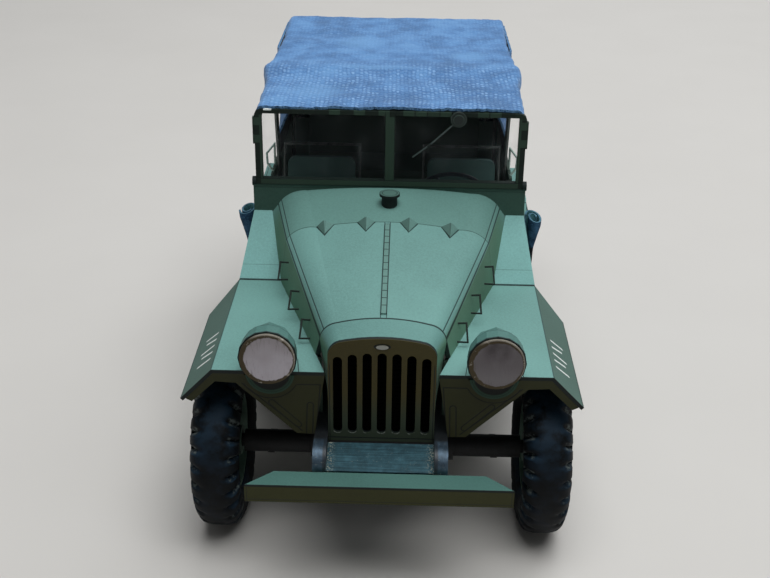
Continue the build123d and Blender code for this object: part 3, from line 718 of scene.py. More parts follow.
# %% Chassis and running gear
def black_paint(title, colour=(0.007, 0.008, 0.009), shine=0.55):
    p = Paint(title)
    brush = p.grain(0.9, 4.0, 0.65)
    fine = p.grain(5.0, 2.0, 0.6)
    tone = brush * 0.7 + fine * 0.3
    base = p.ramp(tone, (0.35, dim(colour, 0.6)), (0.52, colour), (0.70, dim(colour, 2.3)))
    dust = p.grain(0.5, 5.0, 0.8, lift=7.0).step(0.60, 0.74) * 0.35
    base = p.mix(dust, base, (0.040, 0.043, 0.042))
    return p.finish(base, shine + brush * 0.25, tone, 0.06, Specular_IOR_Level=0.35)


CHASSIS = [
    "cross_members", "front_axle", "rear_axle", "leaf_springs", "engine_and_gearbox",
    "exhaust", "gear_levers",
]
INSIDE = ["engine_bay_walls", "floor_pan", "bulkhead_and_dash", "rear_bench"]
wear(black_paint("chassis paint"), *CHASSIS)
wear(card("inner card", (0.045, 0.075, 0.058), worn=0.2), *INSIDE)
wear(card("seat card", (0.060, 0.122, 0.116), worn=0.25), "front_seats")
print("black parts", len(CHASSIS), "bare parts inside", len(INSIDE))

# %% [markdown]
# ## Windscreen, wire and lamps
# The windscreen is a dark card frame with clear film behind it. The film is hardly
# visible, so most of it is let through, and only smears and dust catch the light.

# %% Windscreen
frame_low, frame_high = span("windscreen_frame")
BAR_HALF, BAR_FOOT = 0.88, 52.7           # the upright bar between the panes
TABS_Z, TABS_X = 65.0, 24.5               # the glued tabs lie above and outside these
PANEL_TOP = 51.2


def frame_lines(p):
    sill = p.line(p.z - frame_low.z - 1.05, 0.07)
    bar = p.line(abs(p.x) - BAR_HALF, 0.05) * p.z.step(BAR_FOOT - 0.1, BAR_FOOT + 0.1)
    return strongest(sill, bar)


def glued_tabs(p):
    # short tabs hold the denim along the top and the film along the posts
    on_top = p.z.step(TABS_Z - 0.1, TABS_Z)
    run = p.z / 1.7 * (1 - on_top) + (p.x / 2.3 + 40.0) * on_top
    stuck = p.chance(run.floor()).step(0.56, 0.60) * 0.85
    joint = 1 - abs(run.part() - 0.5).step(0.44, 0.47)
    rim = strongest(p.z.step(TABS_Z, TABS_Z + 0.1), abs(p.x).step(TABS_X - 0.1, TABS_X))
    return rim * strongest(stuck, 1 - joint)


def screen_panel_lines_and_shadow(p):
    # painted shadow: above the panel's top edge the card is inked dark
    shadow = p.z.step(PANEL_TOP - 0.1, PANEL_TOP + 0.1)
    return strongest(shadow, p.line(p.z - (PANEL_TOP - 0.6), 0.05) * 0.6)


def paper_chip(p):
    return p.line(p.x + 22.6 + p.grain(2.0) * 0.5, 0.75) * p.z.step(65.85, 65.95)


frame_card = card(
    "windscreen card", (0.026, 0.050, 0.034), frame_lines, glued_tabs, paper_chip, worn=0.25,
    edge_colour=(0.004, 0.008, 0.006),
)
wear(frame_card, "windscreen_frame")
panel = card("screen panel card", (0.042, 0.094, 0.074), screen_panel_lines_and_shadow, worn=0.15)
wear(panel, "screen_panel")


def clear_film():
    p = Paint("clear film")
    smear = p.grain(0.22, 4.0, 0.6)
    dust = p.grain(4.0, 4.0, 0.75, lift=3.0).step(0.66, 0.74)
    border = abs(abs(p.x) - 12.5).step(10.2, 12.2) * 0.05
    cover = smear.step(0.42, 0.75) * 0.06 + dust * 0.25 + border + 0.02
    rough = 0.10 + smear * 0.18
    base = p.mix(dust, (0.16, 0.18, 0.19), (0.42, 0.42, 0.40))
    p.feed(p.skin.inputs["Alpha"], cover)
    return p.finish(base, rough)


wear(clear_film(), "windscreen_panes")
print("frame height", round(frame_high.z - frame_low.z, 1), "mm")

# %% [markdown]
# Handles, seat frames and bows are bent wire with one tarnished finish in three colours.
# The catches and the steering wheel are painted. The wiper has its own finish, because
# its motor, arm and knuckle are one piece of the frame and are told apart by their
# distance from the motor's middle.

# %% Wire, rods and small parts
def wire(title, colour, metal):
    p = Paint(title)
    drawn = p.grain(1.6, 3.0, 0.6)
    tarnish = p.grain(0.6, 4.0, 0.7, lift=5.0).step(0.45, 0.70)
    base = p.mix(tarnish, colour, dim(colour, 0.35))
    return p.finish(base, 0.30 + tarnish * 0.25, drawn, 0.03, metal)


MOTOR = (12.7, 64.9)      # middle of the wiper's motor, across and up
KNUCKLE = (7.35, 59.75)


def wiper_paint():
    # a dark motor with a lighter ring printed on it, and a paler arm with a dark knuckle
    p = Paint("wiper paint")
    radius = p.reach(p.x - MOTOR[0], p.z - MOTOR[1])
    knuckle = p.line(p.along(p.x, p.z, KNUCKLE, (KNUCKLE[0] + 0.1, KNUCKLE[1])), 0.42)
    rings = p.rings(radius, (0.98, 0.09), (1.42, 0.07))
    base = p.mix(radius.step(1.6, 1.8) * (1 - knuckle), (0.004, 0.010, 0.009), (0.052, 0.074, 0.070))
    return p.finish(p.mix(rings, base, (0.032, 0.054, 0.044)), 0.5)


RODS = {
    "bonnet_catches": black_paint("green wire", (0.007, 0.015, 0.011), 0.60),
    "grab_handles": wire("handle wire", (0.390, 0.560, 0.490), 0.0),
    "seat_frames": wire("seat wire", (0.085, 0.100, 0.095), 0.5),
    "wiper": wiper_paint(),
    "roof_bows": wire("bow wire", (0.060, 0.075, 0.070), 0.6),
    "steering_wheel": black_paint("steering wheel paint", (0.008, 0.016, 0.030), 0.30),
}
for node, finish in RODS.items():
    wear(finish, node)
CAP = (0.2, 27.4)         # middle of the filler cap, across and back


def cap_lines(p):
    radius = p.reach(p.x - CAP[0], p.y - CAP[1])
    return strongest(p.line(radius - 1.40, 0.07), p.line(radius - 1.86, 0.08) * 0.8)


# painted shade: the cap's upright faces get the darker green
cap = card("cap card", (0.080, 0.165, 0.140), cap_lines, upright=(0.016, 0.030, 0.024))
wear(cap, "filler_cap")
print("wires and rods", len(RODS))

# %% [markdown]
# The lamp glasses are discs of foil that was rubbed with paint. Their rims are ragged,
# with brown paint and white paper showing, and the car's left lens is the darker one.

# %% Lamps
RIM_Y = -14.0             # the drums' front rim


def drum_lines_and_shade(p):
    front = p.y.step(RIM_Y + 0.25, RIM_Y)
    bands = p.line(p.y + 11.6, 0.10)
    # painted shade: the drum's underside is inked dark
    return strongest(front, bands * 0.8, p.facing("z").step(-0.15, -0.50) * 0.85)


def lens_foil():
    # left is 1 on the car's left lens; du and dv run from the middle of each lens
    p = Paint("lens foil")
    left = p.x.step(-1.0, 1.0)
    du, dv = p.x - (left - 0.5) * (2 * LAMP_X), p.z - LAMP_Z
    radius = p.reach(du, dv)
    ragged = radius + (p.grain(0.75, 4.0, 0.7) - 0.5) * 0.9 - du * 0.05
    cloud = p.grain(0.35, 4.0, 0.6)
    drawn = p.grain(1.0, 3.0, 0.6, p.mapped(p.mm, (0, 0, 0), (3.5, 1, 0.5)))
    base = p.mix(left, (0.365, 0.340, 0.375), (0.108, 0.096, 0.104))
    light_foot = (du * 0.4 - dv).step(-1.5, 3.4) * (1 - left) * 0.55
    base = p.mix(light_foot, base, (0.47, 0.44, 0.49))
    dull_top = (dv + abs(du) * 0.4).step(1.2, 3.9) * (1 - left) * 0.45
    base = p.mix(dull_top, base, (0.185, 0.165, 0.160))
    light_low = dv.step(0.5, -3.2) * left * 0.45
    base = p.mix(light_low, base, (0.190, 0.180, 0.190))
    dark_top = left * dv.step(-0.5, 3.0) * abs(du).step(2.8, 1.0) * 0.75
    base = p.mix(dark_top, base, (0.030, 0.022, 0.026))
    haze = p.mix(left, (0.30, 0.275, 0.290), (0.15, 0.14, 0.15))
    base = p.mix(cloud.step(0.45, 0.65) * 0.35, base, haze)
    base = p.mix(drawn.step(0.54, 0.72) * radius.step(1.2, 3.8) * 0.50, base, (0.08, 0.07, 0.065))
    rim = ragged.step(3.80, 3.98)
    base = p.mix(rim, base, (0.046, 0.032, 0.012))
    chips = p.grain(0.8, 4.0, 0.75, lift=9.0).step(0.58, 0.64) * 0.5
    paper = radius.step(4.22, 4.34) * (du + dv).step(0.0, 3.0) * 0.5
    base = p.mix(rim * (chips + paper), base, (0.40, 0.37, 0.32))
    rough = 0.42 + cloud * 0.2 + rim * 0.3
    metal = 0.25 - rim * 0.25
    return p.finish(base, rough, drawn + rim, 0.05, metal)


# painted shade: the drum's upright faces get the darker green
drums = card("drum card", (0.078, 0.188, 0.168), drum_lines_and_shade, upright=(0.055, 0.128, 0.108))
wear(drums, "lamp_drums")
wear(lens_foil(), "lamp_lenses")
lens_low, lens_high = span("lamp_lenses")
print("lens radius", round((lens_high.z - lens_low.z) / 2, 2))

# %% [markdown]
# ## Tyres and wheels
# The tyres are thick discs of card, sanded round and painted black. Their treads are
# notches cut into both shoulders with a knife, which left a few pale chips. One tyre is
# modelled from an open tube whose end loops are extruded inwards step by step, and then
# notches are sunk into the shoulders. The other four are copies of its mesh.

# %% Modelling helpers
def let_go():
    if bpy.context.object and bpy.context.object.mode != "OBJECT":
        bpy.ops.object.mode_set(mode="OBJECT")
    bpy.ops.object.select_all(action="DESELECT")


def hold(piece):
    let_go()
    piece.select_set(True)
    bpy.context.view_layer.objects.active = piece


def named(title):
    piece = bpy.context.object
    piece.name = title
    piece.data.name = title
    return piece


def choose(piece, kind, wanted):
    # selects, in edit mode, the points, edges or faces whose points all pass the test
    bpy.ops.object.mode_set(mode="EDIT")
    bpy.ops.mesh.select_mode(type=kind)
    bpy.ops.mesh.select_all(action="DESELECT")
    bpy.ops.object.mode_set(mode="OBJECT")
    mesh = piece.data
    for part in {"VERT": mesh.vertices, "EDGE": mesh.edges, "FACE": mesh.polygons}[kind]:
        points = [part.index] if kind == "VERT" else part.vertices
        part.select = all(wanted(mesh.vertices[index].co) for index in points)
    bpy.ops.object.mode_set(mode="EDIT")


def settle(piece, material, body, angle=35):
    # places the piece for good: applied, smooth, painted and riding on its body
    hold(piece)
    bpy.ops.object.transform_apply(location=True, rotation=True, scale=True)
    bpy.ops.object.shade_smooth_by_angle(angle=math.radians(angle))
    if material:
        piece.data.materials.clear()
        piece.data.materials.append(material)
    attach(piece, body)
    return piece


def twin(piece, title, matrix):
    # a copy with its own mesh, moved in its mesh
    copy = piece.copy()
    copy.data = piece.data.copy()
    copy.name = copy.data.name = title
    copy.data.transform(matrix)
    scene.collection.objects.link(copy)
    return copy


# %% [markdown]
# The tyre starts as a short open tube, because only its outside shows. Its end loops are
# extruded in steps, each resized and moved out, down a rounded shoulder and wall to the
# rim, and the two last loops are bridged, so that the mesh is closed.

# %% One tyre
NOTCHES, FACETS = 28, 8
STEPS = NOTCHES * FACETS
CROWN, CROWN_HALF = TYRE_R - 0.05, 1.2
HALF_W = TYRE_W / 2
RIM_R, RIM_HALF = 8.62, 3.05
# radius, distance from the middle plane, depth of a notch there
RINGS = [
    (CROWN - 0.10, 2.00, 0.20),
    (CROWN - 0.40, 2.75, 0.85),
    (CROWN - 0.95, 3.35, 1.45),
    (CROWN - 1.70, 3.78, 1.75),
    (CROWN - 2.80, 4.08, 1.30),
    (CROWN - 3.90, HALF_W - 0.07, 0.0),
    (CROWN - 5.00, 3.95, 0.0),
    (RIM_R + 0.45, 3.50, 0.0),
    (RIM_R, RIM_HALF, 0.0),
]
let_go()
bpy.ops.mesh.primitive_cylinder_add(
    vertices=STEPS, radius=CROWN * MM, depth=2 * CROWN_HALF * MM, end_fill_type="NOTHING",
    rotation=(0, math.pi / 2, 0),
)
tyre = named("tyre_shape")
bpy.ops.object.transform_apply(rotation=True)


def on_ring(point, x, radius):
    near = 0.01 * MM
    return abs(point.x - x * MM) < near and abs(math.hypot(point.y, point.z) - radius * MM) < near


for way in (-1, 1):
    outer, reach = CROWN, CROWN_HALF
    for radius, out, cut in RINGS:
        choose(tyre, "EDGE", lambda point: on_ring(point, way * reach, outer))
        bpy.ops.mesh.extrude_edges_move()
        shrink = radius / outer
        bpy.ops.transform.resize(value=(1, shrink, shrink), center_override=(0, 0, 0))
        bpy.ops.transform.translate(value=(way * (out - reach) * MM, 0, 0))
        outer, reach = radius, out
choose(tyre, "EDGE", lambda point: on_ring(point, math.copysign(RIM_HALF, point.x), RIM_R))
bpy.ops.mesh.bridge_edge_loops()
bpy.ops.mesh.select_all(action="SELECT")
bpy.ops.mesh.normals_make_consistent(inside=False)
bpy.ops.object.mode_set(mode="OBJECT")
print("plain tyre faces", len(tyre.data.polygons))

# %% [markdown]
# A notch is a V that opens towards the side of the tyre. The points along its middle are
# drawn in towards the axle, ring by ring, and their neighbours follow less than half way.

# %% Notches
def in_notch(point, way, apart):
    turn = round(math.atan2(point.z, point.y) / math.tau * STEPS) + (FACETS // 2 if way > 0 else 0)
    return min(turn % FACETS, -turn % FACETS) == apart


for way in (-1, 1):
    for radius, out, cut in [ring for ring in RINGS if ring[2]]:
        for apart, share in ((0, 1.0), (1, 0.42)):
            choose(
                tyre, "VERT",
                lambda point: on_ring(point, way * out, radius) and in_notch(point, way, apart),
            )
            shrink = 1 - cut * share / radius
            bpy.ops.transform.resize(value=(1, shrink, shrink), center_override=(0, 0, 0))
            bpy.ops.transform.translate(value=(-way * cut * share * 0.25 * MM, 0, 0))
bpy.ops.object.mode_set(mode="OBJECT")
for point in tyre.data.vertices:
    # the shoulders and walls are rougher than the crown, and the rim stays true
    rough = 0.09 if abs(point.co.x) > 2.3 * MM else 0.015
    if math.hypot(point.co.y, point.co.z) > 11 * MM:
        point.co += noise.noise_vector(point.co * 420) * rough * MM
widest = max(math.hypot(point.co.y, point.co.z) for point in tyre.data.vertices)
print("tyre faces", len(tyre.data.polygons), "notches", 2 * NOTCHES, "radius", round(widest / MM, 2))

# %% [markdown]
# The tyres are painted nearly black, with a painted reflection of the sky in navy on the faces that look
# up.
# Their turn about the axle tells where the notches are, and there the paint is thin and
# pale card shows. Each tyre measures from its own middle, so each has its own paint.

# %% Tyre paint
def tyre_paint(title, centre, turned=0.0, axis="x"):
    p = Paint(title, centre)
    across, level = (p.x, p.y) if axis == "x" else (p.y, 0 - p.x)
    radius = p.reach(level, p.z)
    brush = p.grain(0.35, 4.0, 0.6)
    fine = p.grain(3.0, 3.0, 0.7)
    base = p.ramp(
        brush * 0.7 + fine * 0.3, (0.38, (0.0012, 0.0018, 0.0022)),
        (0.50, (0.0022, 0.0036, 0.0050)), (0.66, (0.0050, 0.0090, 0.0160)),
    )
    # painted reflection: navy on the faces that look up, where the sky would show in them
    painted_sky_reflection = p.facing("z").step(0.05, 0.9) * brush.step(0.34, 0.58) * 0.9
    base = p.mix(painted_sky_reflection, base, (0.0115, 0.0290, 0.0500))
    turn = (p.z.turn(level) - turned) * (NOTCHES / math.tau)
    near = abs((turn + 0.5 + across.step(-0.1, 0.1) * 0.5).part() - 0.5)
    shoulder = abs(across).step(2.4, 2.9) * radius.step(CROWN - 4.0, CROWN - 3.4)
    bare = near.step(0.24, 0.12) * shoulder * p.grain(0.8, 4.0, 0.7, lift=3.0).step(0.48, 0.58)
    base = p.mix(bare * 0.9, base, (0.115, 0.140, 0.135))
    chips = p.grain(1.7, 5.0, 0.8, lift=8.0).step(0.66, 0.72) * shoulder.most(0.35) * 0.6
    base = p.mix(chips, base, (0.14, 0.17, 0.18))
    rings = p.rings(radius, (10.4, 0.09), (9.4, 0.07))
    height = brush * 0.5 + fine * 0.3 - rings * abs(across).step(2.8, 3.2) * 0.8
    rough = 0.48 + fine * 0.22 + bare * 0.2
    return p.finish(base, rough, height, 0.05, Specular_IOR_Level=0.14)


WHEELS = [
    (end + side, way, (way * WHEEL_X, y, TYRE_R))
    for end, y in (("front", 0.0), ("rear", REAR_AXLE)) for side, way in (("_left", 1), ("_right", -1))
]
REAR_TURN, LEFT_TURN = 37, 11       # degrees, so that no two tyres stand alike
for title, way, centre in WHEELS:
    turned = math.radians(REAR_TURN * (centre[1] > 0) + LEFT_TURN * (way > 0))
    turn = Matrix.Rotation(turned, 4, "X")
    copy = twin(tyre, "rubber_" + title, Matrix.Translation(at(*centre)) @ turn)
    settle(copy, tyre_paint("tyre paint " + title, centre, turned), "wheel_" + title, 40)
    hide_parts("tyre_" + title)
spare_low, spare_high = span("tyre_spare")
SPARE = tuple((spare_low + spare_high) / 2)
copy = twin(tyre, "rubber_spare", Matrix.Translation(at(*SPARE)) @ Matrix.Rotation(math.pi / 2, 4, "Z"))
settle(copy, tyre_paint("tyre paint spare", SPARE, axis="y"), "car", 40)
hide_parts("tyre_spare")
bpy.data.objects.remove(tyre)
print("tyres", len(WHEELS) + 1)

# %% [markdown]
# The wheels are printed discs with rings of ink, and five nuts each. One nut is modelled
# from a hexagon whose face is inset and drawn out, and then copied round every disc.

# %% Wheel discs and nuts
def disc_card(title, centre, axis="x"):
    p = Paint(title, centre)
    radius = p.reach(p.y if axis == "x" else p.x, p.z)
    fibre = p.grain(2.6, 4.0, 0.7)
    base = shades(p, fibre * 0.4 + p.grain(0.2, 3.0) * 0.6, (0.085, 0.150, 0.115))
    ink = p.rings(radius, (7.3, 0.10), (5.15, 0.09), (2.6, 0.09))
    base = p.mix(ink * 0.8, base, LINE_INK)
    dirt = p.grain(0.6, 4.0, 0.7, lift=2.0).step(0.50, 0.75) * 0.45
    base = p.mix(dirt, base, (0.035, 0.040, 0.036))
    return p.finish(base, 0.55 + fibre * 0.15, fibre - ink, 0.05)


NUTS, NUT_RING, NUT_OUT = 5, 3.9, 1.70
NUT_R, NUT_HIGH = 0.55, 0.5
let_go()
bpy.ops.mesh.primitive_cylinder_add(
    vertices=6, radius=NUT_R * MM, depth=NUT_HIGH * MM, rotation=(0, math.pi / 2, 0),
)
nut = named("nut_shape")
bpy.ops.object.transform_apply(rotation=True)
choose(nut, "FACE", lambda point: point.x > 0)
bpy.ops.mesh.inset(thickness=0.14 * MM)
bpy.ops.mesh.extrude_region_move(TRANSFORM_OT_translate={"value": (0.28 * MM, 0, 0)})
bpy.ops.mesh.inset(thickness=0.10 * MM)
bpy.ops.object.mode_set(mode="OBJECT")
nut_paint = black_paint("nut paint", (0.030, 0.045, 0.038))


def nut_ring(title, centre, facing, body):
    ring = []
    for number in range(NUTS):
        turn = Matrix.Rotation(math.tau * number / NUTS, 4, "X")
        place = Matrix.Translation(at(*centre)) @ facing @ turn
        place = place @ Matrix.Translation(Vector((NUT_OUT, 0, NUT_RING)) * MM)
        ring.append(twin(nut, "nut_copy", place))
    hold(ring[0])
    for piece in ring:
        piece.select_set(True)
    bpy.ops.object.join()
    settle(named("nuts_" + title), nut_paint, body)


for title, way, centre in WHEELS:
    wear(disc_card("disc " + title, centre), "wheel_" + title)
    facing = Matrix.Rotation(0 if way > 0 else math.pi, 4, "Z")
    nut_ring(title, centre, facing, "wheel_" + title)
wear(disc_card("disc spare", SPARE, "y"), "wheel_spare")
nut_ring("spare", SPARE, Matrix.Rotation(math.pi / 2, 4, "Z"), "car")
bpy.data.objects.remove(nut)
print("nuts", NUTS * (len(WHEELS) + 1))

# %% [markdown]
# ## The denim top
# The top is a patch of real denim, so its weave is far too coarse for the model, and that
# is the charm of it. One sheet lies over the windscreen and the two wire bows; its cut
# edges hang down a little and fray. The weave follows the cloth's own flat coordinates,
# in millimetres, so that it bends with the cloth.

# %% Denim finish
DENIM = (0.086, 0.228, 0.500)
DENIM_DARK = (0.035, 0.105, 0.290)
DENIM_PALE = (0.152, 0.342, 0.630)
DENIM_WHITE = (0.330, 0.540, 0.830)
COLUMN, FLECK = 0.82, 1.40


def denim(title, shade, worn, spots=()):
    p = Paint(title)
    flat = p.node("ShaderNodeTexCoord", {}, output="UV")
    u, v = p.split(flat)[:2]
    # thick threads lie in columns, each with flecks of its own beat
    column = u / COLUMN + (p.grain(0.05, 2.0, 0.5, flat) - 0.5) * 3.0
    row = v / FLECK + p.chance(column.floor())
    wander = p.grain(0.9, 2.0, 0.5, flat, lift=2.0) - 0.5
    cu = (column.part() - 0.5) * 2.0 + wander * 1.5
    cv = (row.part() - 0.5) * 2.0 - wander * 2.2
    bulge = (1 - cu * cu * 0.9 - cv * cv * 1.1).most(0.0)
    chance = p.chance(column.floor() * 3.7, row.floor() * 5.3)
    cloud = p.grain(0.060, 4.0, 0.6, flat)
    patch = p.grain(0.20, 3.0, 0.6, flat, lift=6.0)
    thread = p.grain(2.6, 3.0, 0.7, flat)
    faded = cloud * 0.5 + patch * 0.5
    rubbed = faded.step(0.45, 0.66)
    coarse = 1.0
    if spots:
        # the weave shows most in front of the bow, where the cloth is rubbed
        coarse = v.step(32.0, 22.0) * 0.65 + 0.35
        for centre, size in spots:
            spot = p.reach((u - centre[0]) / size[0], (v - centre[1]) / size[1]).step(1.0, 0.25)
            rubbed = rubbed.most(spot * (0.7 + patch * 0.6))
    base = p.mix(faded.step(0.36, 0.58), dim(DENIM, shade * 0.64), dim(DENIM, shade))
    base = p.mix(rubbed * 0.72 * worn, base, dim(DENIM_PALE, shade))
    shown = 0.40 + patch.step(0.40, 0.58) * 0.60
    fleck = bulge.step(0.30, 1.0) * chance.step(-0.1, 1.1) * coarse * (1 - rubbed * 0.55) * shown
    base = p.mix(fleck * 0.80 * worn, base, dim(DENIM_WHITE, shade))
    gap = (1 - bulge).step(0.60, 1.0) * (0.16 + chance * 0.30) * coarse * (1 - rubbed * 0.6)
    base = p.mix(gap, base, dim(DENIM_DARK, shade))
    base = p.mix((thread - 0.44) * 1.7, base, dim(DENIM_PALE, shade))
    base = p.mix((0.47 - thread) * 2.0, base, dim(DENIM_DARK, shade))
    height = bulge * coarse * 0.6 + thread * 0.6
    skin = p.finish(base, 0.86 + thread * 0.1, height, 0.16, Specular_IOR_Level=0.15)
    p.skin.inputs["Sheen Weight"].default_value = 0.15
    p.skin.inputs["Sheen Roughness"].default_value = 0.6
    return skin


def frayed_edge():
    p = Paint("frayed edge")
    ends = p.grain(2.2, 3.0, 0.7)
    base = p.mix(ends.step(0.38, 0.58), (0.030, 0.085, 0.190), (0.130, 0.260, 0.440))
    return p.finish(base, 0.9, ends, 0.12, Specular_IOR_Level=0.1)


# middle and half size of each worn spot, in flat millimetres
SPOTS = [
    ((13.0, 10.0), (8.0, 9.0)), ((24.0, 24.8), (15.0, 2.4)),
    ((44.0, 36.0), (6.0, 5.0)), ((21.0, 46.0), (8.0, 9.0)),
]
denim_top = denim("denim", 1.0, 1.0, SPOTS)
denim_back = denim("denim of the back", 0.95, 0.7)
# painted shade: the cloth's inside is given almost black denim, as it lies in shade
shaded_denim_inside = denim("denim inside", 0.05, 0.15)
fray = frayed_edge()
print("weave columns", COLUMN, "mm apart, worn spots", len(SPOTS))

# %% [markdown]
# Each sheet is one grid. Its points are moved by code to where the cloth lies, and its UV
# map keeps the flat millimetres. The cloth is stiff and glued on, so its shape is written
# out and not simulated. A solidify modifier gives the thickness, with an inside painted
# almost black as shade and a frayed rim, from its own material slots.

# %% Cloth grid
def cloth_grid(title, columns, rows, shape, flat, thick, skins):
    # a grid bent by shape(u, v), whose flat coordinates in millimetres become its UV map;
    # the skins are that of the face, of the other side and of the rim
    let_go()
    bpy.ops.mesh.primitive_grid_add(x_subdivisions=columns, y_subdivisions=rows, size=1, calc_uvs=True)
    piece = named(title)
    width, length = flat
    for point in piece.data.vertices:
        u, v = (point.co.x + 0.5) * width, (point.co.y + 0.5) * length
        point.co = at(*shape(u, v))
    for corner in piece.data.uv_layers.active.data:
        corner.uv = (corner.uv[0] * width, corner.uv[1] * length)
    area = sum(face.area for face in piece.data.polygons)
    for skin in skins:
        piece.data.materials.append(skin)
    hold(piece)
    solid = piece.modifiers.new("thickness", "SOLIDIFY")
    solid.thickness, solid.offset = thick * MM, -1
    solid.material_offset, solid.material_offset_rim = 1, 2
    bpy.ops.object.modifier_apply(modifier=solid.name)
    print(title, "area", round(area / MM ** 2), "mm2 of", round(width * length))
    return settle(piece, None, "car", 60)


def between(value, table):
    # smooth height between the rows of a short table
    for (a, low), (b, high) in zip(table, table[1:]):
        if value <= b:
            share = max(0.0, min(1.0, (value - a) / (b - a)))
            return low + (high - low) * share * share * (3 - 2 * share)
    return table[-1][1]


print("half way up a step of 1", between(0.5, [(0.0, 0.0), (1.0, 1.0)]))

# %% [markdown]
# The roof rises over the front bow, sags between it and the windscreen, and its sides
# turn down over a small radius. Short tables give its height and half width along the
# car. The front edge is cut by hand, so it wavers.

# %% Roof sheet
# stations along the car with the height and with the half width there
ROOF_TOP = [
    (32.0, 66.72), (44.0, 66.62), (52.0, 66.85), (58.5, 67.72),
    (66.0, 67.25), (84.0, 67.35), (96.0, 67.78), (102.0, 67.86),
]
ROOF_HALF = [(32.0, 25.0), (50.0, 25.2), (58.5, 26.3), (65.0, 25.5), (80.0, 25.0), (102.0, 25.3)]
ROOF_FLAT = (56.0, 68.0)
ROOF_START, ROOF_RUN = 33.55, 0.992
WAVER = 2.5               # how far in from its ends the cut edge wavers
CORNER_R, CORNER_TURN = 1.1, math.pi / 2 * 0.92
FRONT_CORNER = 37.0       # in front of this the left corner hangs lower


def ripple(x, y, scale, height):
    return noise.noise(Vector((x, y, 0)) * scale) * height


def roof_shape(u, v):
    across = u - ROOF_FLAT[0] / 2
    way = 1 if across > 0 else -1
    y = ROOF_START + v * ROOF_RUN
    if v < WAVER:
        y -= ripple(u * 1.1, 7, 1.0, 0.45) * (1 - v / WAVER)
    if v > ROOF_FLAT[1] - WAVER:
        y += ripple(u * 1.9, 19, 1.0, 0.25) * (v - ROOF_FLAT[1] + WAVER) / WAVER
    half = between(y, ROOF_HALF) + ripple(y, 3 * way, 0.30, 0.30)
    top = between(y, ROOF_TOP) + ripple(across, y, 0.16, 0.35) + ripple(across, y, 0.55, 0.12)
    bend = half - CORNER_R
    past = abs(across) - bend
    if past <= 0:
        return across, y, top
    turn = min(past / CORNER_R, CORNER_TURN)
    down = max(0.0, past - CORNER_R * CORNER_TURN)
    x = bend + CORNER_R * math.sin(turn) + down * 0.06
    drop = CORNER_R * (1 - math.cos(turn)) + down * (1 + ripple(y, way, 0.5, 0.25))
    if way > 0 and y < FRONT_CORNER:
        drop += (FRONT_CORNER - y) * 0.30 * min(1, past / 2.0)
    return way * x, y, top - drop


roof = cloth_grid("denim_roof", 150, 150, roof_shape, ROOF_FLAT, 0.5, (denim_top, shaded_denim_inside, fray))
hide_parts("canvas_roof")

# %% [markdown]
# The back is one sheet that hangs round the tub, from the front edge of one quarter to
# that of the other. Its run is measured along the bottom edge, so the two corners are
# turned without stretching the weave.

# %% Back and quarters
back_low, back_high = span("canvas_back")
SIDE_LEN, BACK_LEN = back_high.y - back_low.y - 1.0, back_high.x - back_low.x
BACK_FLAT = (2 * SIDE_LEN + BACK_LEN - 2.0, back_high.z - back_low.z - 0.5)
BACK_R = 1.6              # radius of its two corners
BACK_TAIL = back_high.y - 0.25
FREE_Y, FREE_Z = 76.0, 48.0     # in front of and above these the front edges hang free


def back_shape(u, v):
    z = back_low.z + 0.02 + v
    middle = BACK_FLAT[0] / 2
    run = abs(u - middle)
    way = 1 if u > middle else -1
    half = BACK_LEN / 2
    flat_half = half - BACK_R
    wave = ripple(u, v, 0.13, 0.7) * math.sin(math.pi * v / BACK_FLAT[1]) + ripple(u, v * 0.5, 0.45, 0.25)
    if run < flat_half:
        return way * run, BACK_TAIL - abs(wave), z
    turn = (run - flat_half) / BACK_R
    if turn < math.pi / 2:
        return way * (flat_half + BACK_R * math.sin(turn)), BACK_TAIL - BACK_R * (1 - math.cos(turn)), z
    y = BACK_TAIL - BACK_R - (run - flat_half - BACK_R * math.pi / 2)
    free = max(0.0, (FREE_Y - y) / 5.0)
    lean = free * (v / BACK_FLAT[1]) * 2.2
    tuck = free * min(1.0, max(0.0, (z - FREE_Z) / 5.0)) * 2.6
    return way * (half - 0.1 - abs(wave) * 0.7 - tuck), y + lean, z


# this grid faces into the cab and is thickened outwards, so the paint of the inside comes first
back = cloth_grid("denim_back", 190, 46, back_shape, BACK_FLAT, 0.45, (shaded_denim_inside, denim_back, fray))
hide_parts("canvas_back")

# %% [markdown]
# Each door has a strip of denim rolled up beside the windscreen. The strip is a grid wound
# into a spiral, wide at its mouth and narrow where a strap holds its foot.

# %% Door curtains, rolled up
ROLL_LENGTH, ROLL_Y = 10.4, 36.6
WEDGE = 0.60              # share of the flat rectangle that is left after the cut
WINDS, WIND_START = 1.4, 0.63
STRAP_Z = 37.7            # below the strap the roll is almost black
# side, way out, cut width, distance out, radius of the mouth, how far the foot stands in, height
ROLLS = [("left", 1, 12.0, 28.40, 1.86, 0.30, 33.8), ("right", -1, 10.0, 27.70, 1.45, 0.72, 34.5)]


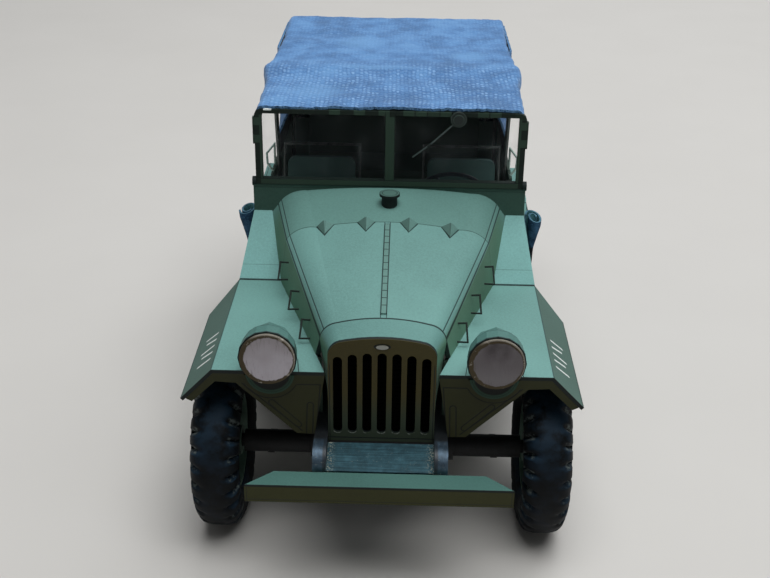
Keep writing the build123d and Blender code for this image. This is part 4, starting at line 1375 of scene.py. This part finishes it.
def roll_paint(title, deep, pale):
    p = Paint(title)
    thread = p.grain(2.4, 3.0, 0.7)
    fold = p.grain(0.5, 3.0, 0.6)
    base = p.mix(fold.step(0.35, 0.65), deep, pale)
    base = p.mix(thread.step(0.45, 0.70) * 0.5, base, dim(pale, 1.7))
    base = p.mix(p.z.step(STRAP_Z + 0.2, STRAP_Z - 0.2), base, (0.010, 0.014, 0.018))
    return p.finish(base, 0.88, thread + fold, 0.12, Specular_IOR_Level=0.12)


def roll_shape(way, width, x, r, lean, height):
    def shape(u, v):
        wound = u / width
        share = v / ROLL_LENGTH
        turn = way * (wound * WINDS * math.tau + WIND_START)
        open_up = min(1.0, max(0.0, (share - 0.36) / 0.50))
        reach = (0.45 + 0.55 * wound) * r * (0.34 + 0.66 * open_up)
        out = way * reach * math.cos(turn)
        stand = x - lean * (1 - share)
        back = reach * math.sin(turn)
        drop = (0.30 * out - 0.40 * back) * share ** 4
        return way * (stand + out), ROLL_Y + 0.4 * (1 - share) + back, height + v - drop
    return shape


roll_rim = roll_paint("rolled denim rim", (0.050, 0.120, 0.170), (0.100, 0.215, 0.290))
roll_skins = (
    roll_paint("rolled denim", (0.013, 0.038, 0.076), (0.044, 0.115, 0.205)),
    roll_paint("rolled denim inside", (0.042, 0.145, 0.170), (0.115, 0.300, 0.325)),
)
for side, way, width, x, r, lean, height in ROLLS:
    shape = roll_shape(way, width, x, r, lean, height)
    flat = (width, ROLL_LENGTH)
    roll = cloth_grid("curtain_" + side, 84, 20, shape, flat, 0.38, (*roll_skins[::way], roll_rim))
    if side == "left":
        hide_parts("curtain_rolls")
    # a wedge as wide as its flat size at the mouth, and a third of that along the strap
    cut = WEDGE * width * ROLL_LENGTH * MM * MM

# %% [markdown]
# ## Floor
# A plain pale floor keeps the model's shadow and runs far back, past the camera's view.

# %% Floor
let_go()
bpy.ops.mesh.primitive_plane_add(size=4.0, location=(0, 0.6, 0))
floor = named("floor")
paper = Paint("floor paint")
pale = paper.mix(paper.grain(0.02), (0.60, 0.575, 0.545), (0.65, 0.625, 0.595))
floor.data.materials.append(paper.finish(pale, 0.75))
print("floor", round(floor.dimensions.x, 1), "m wide")
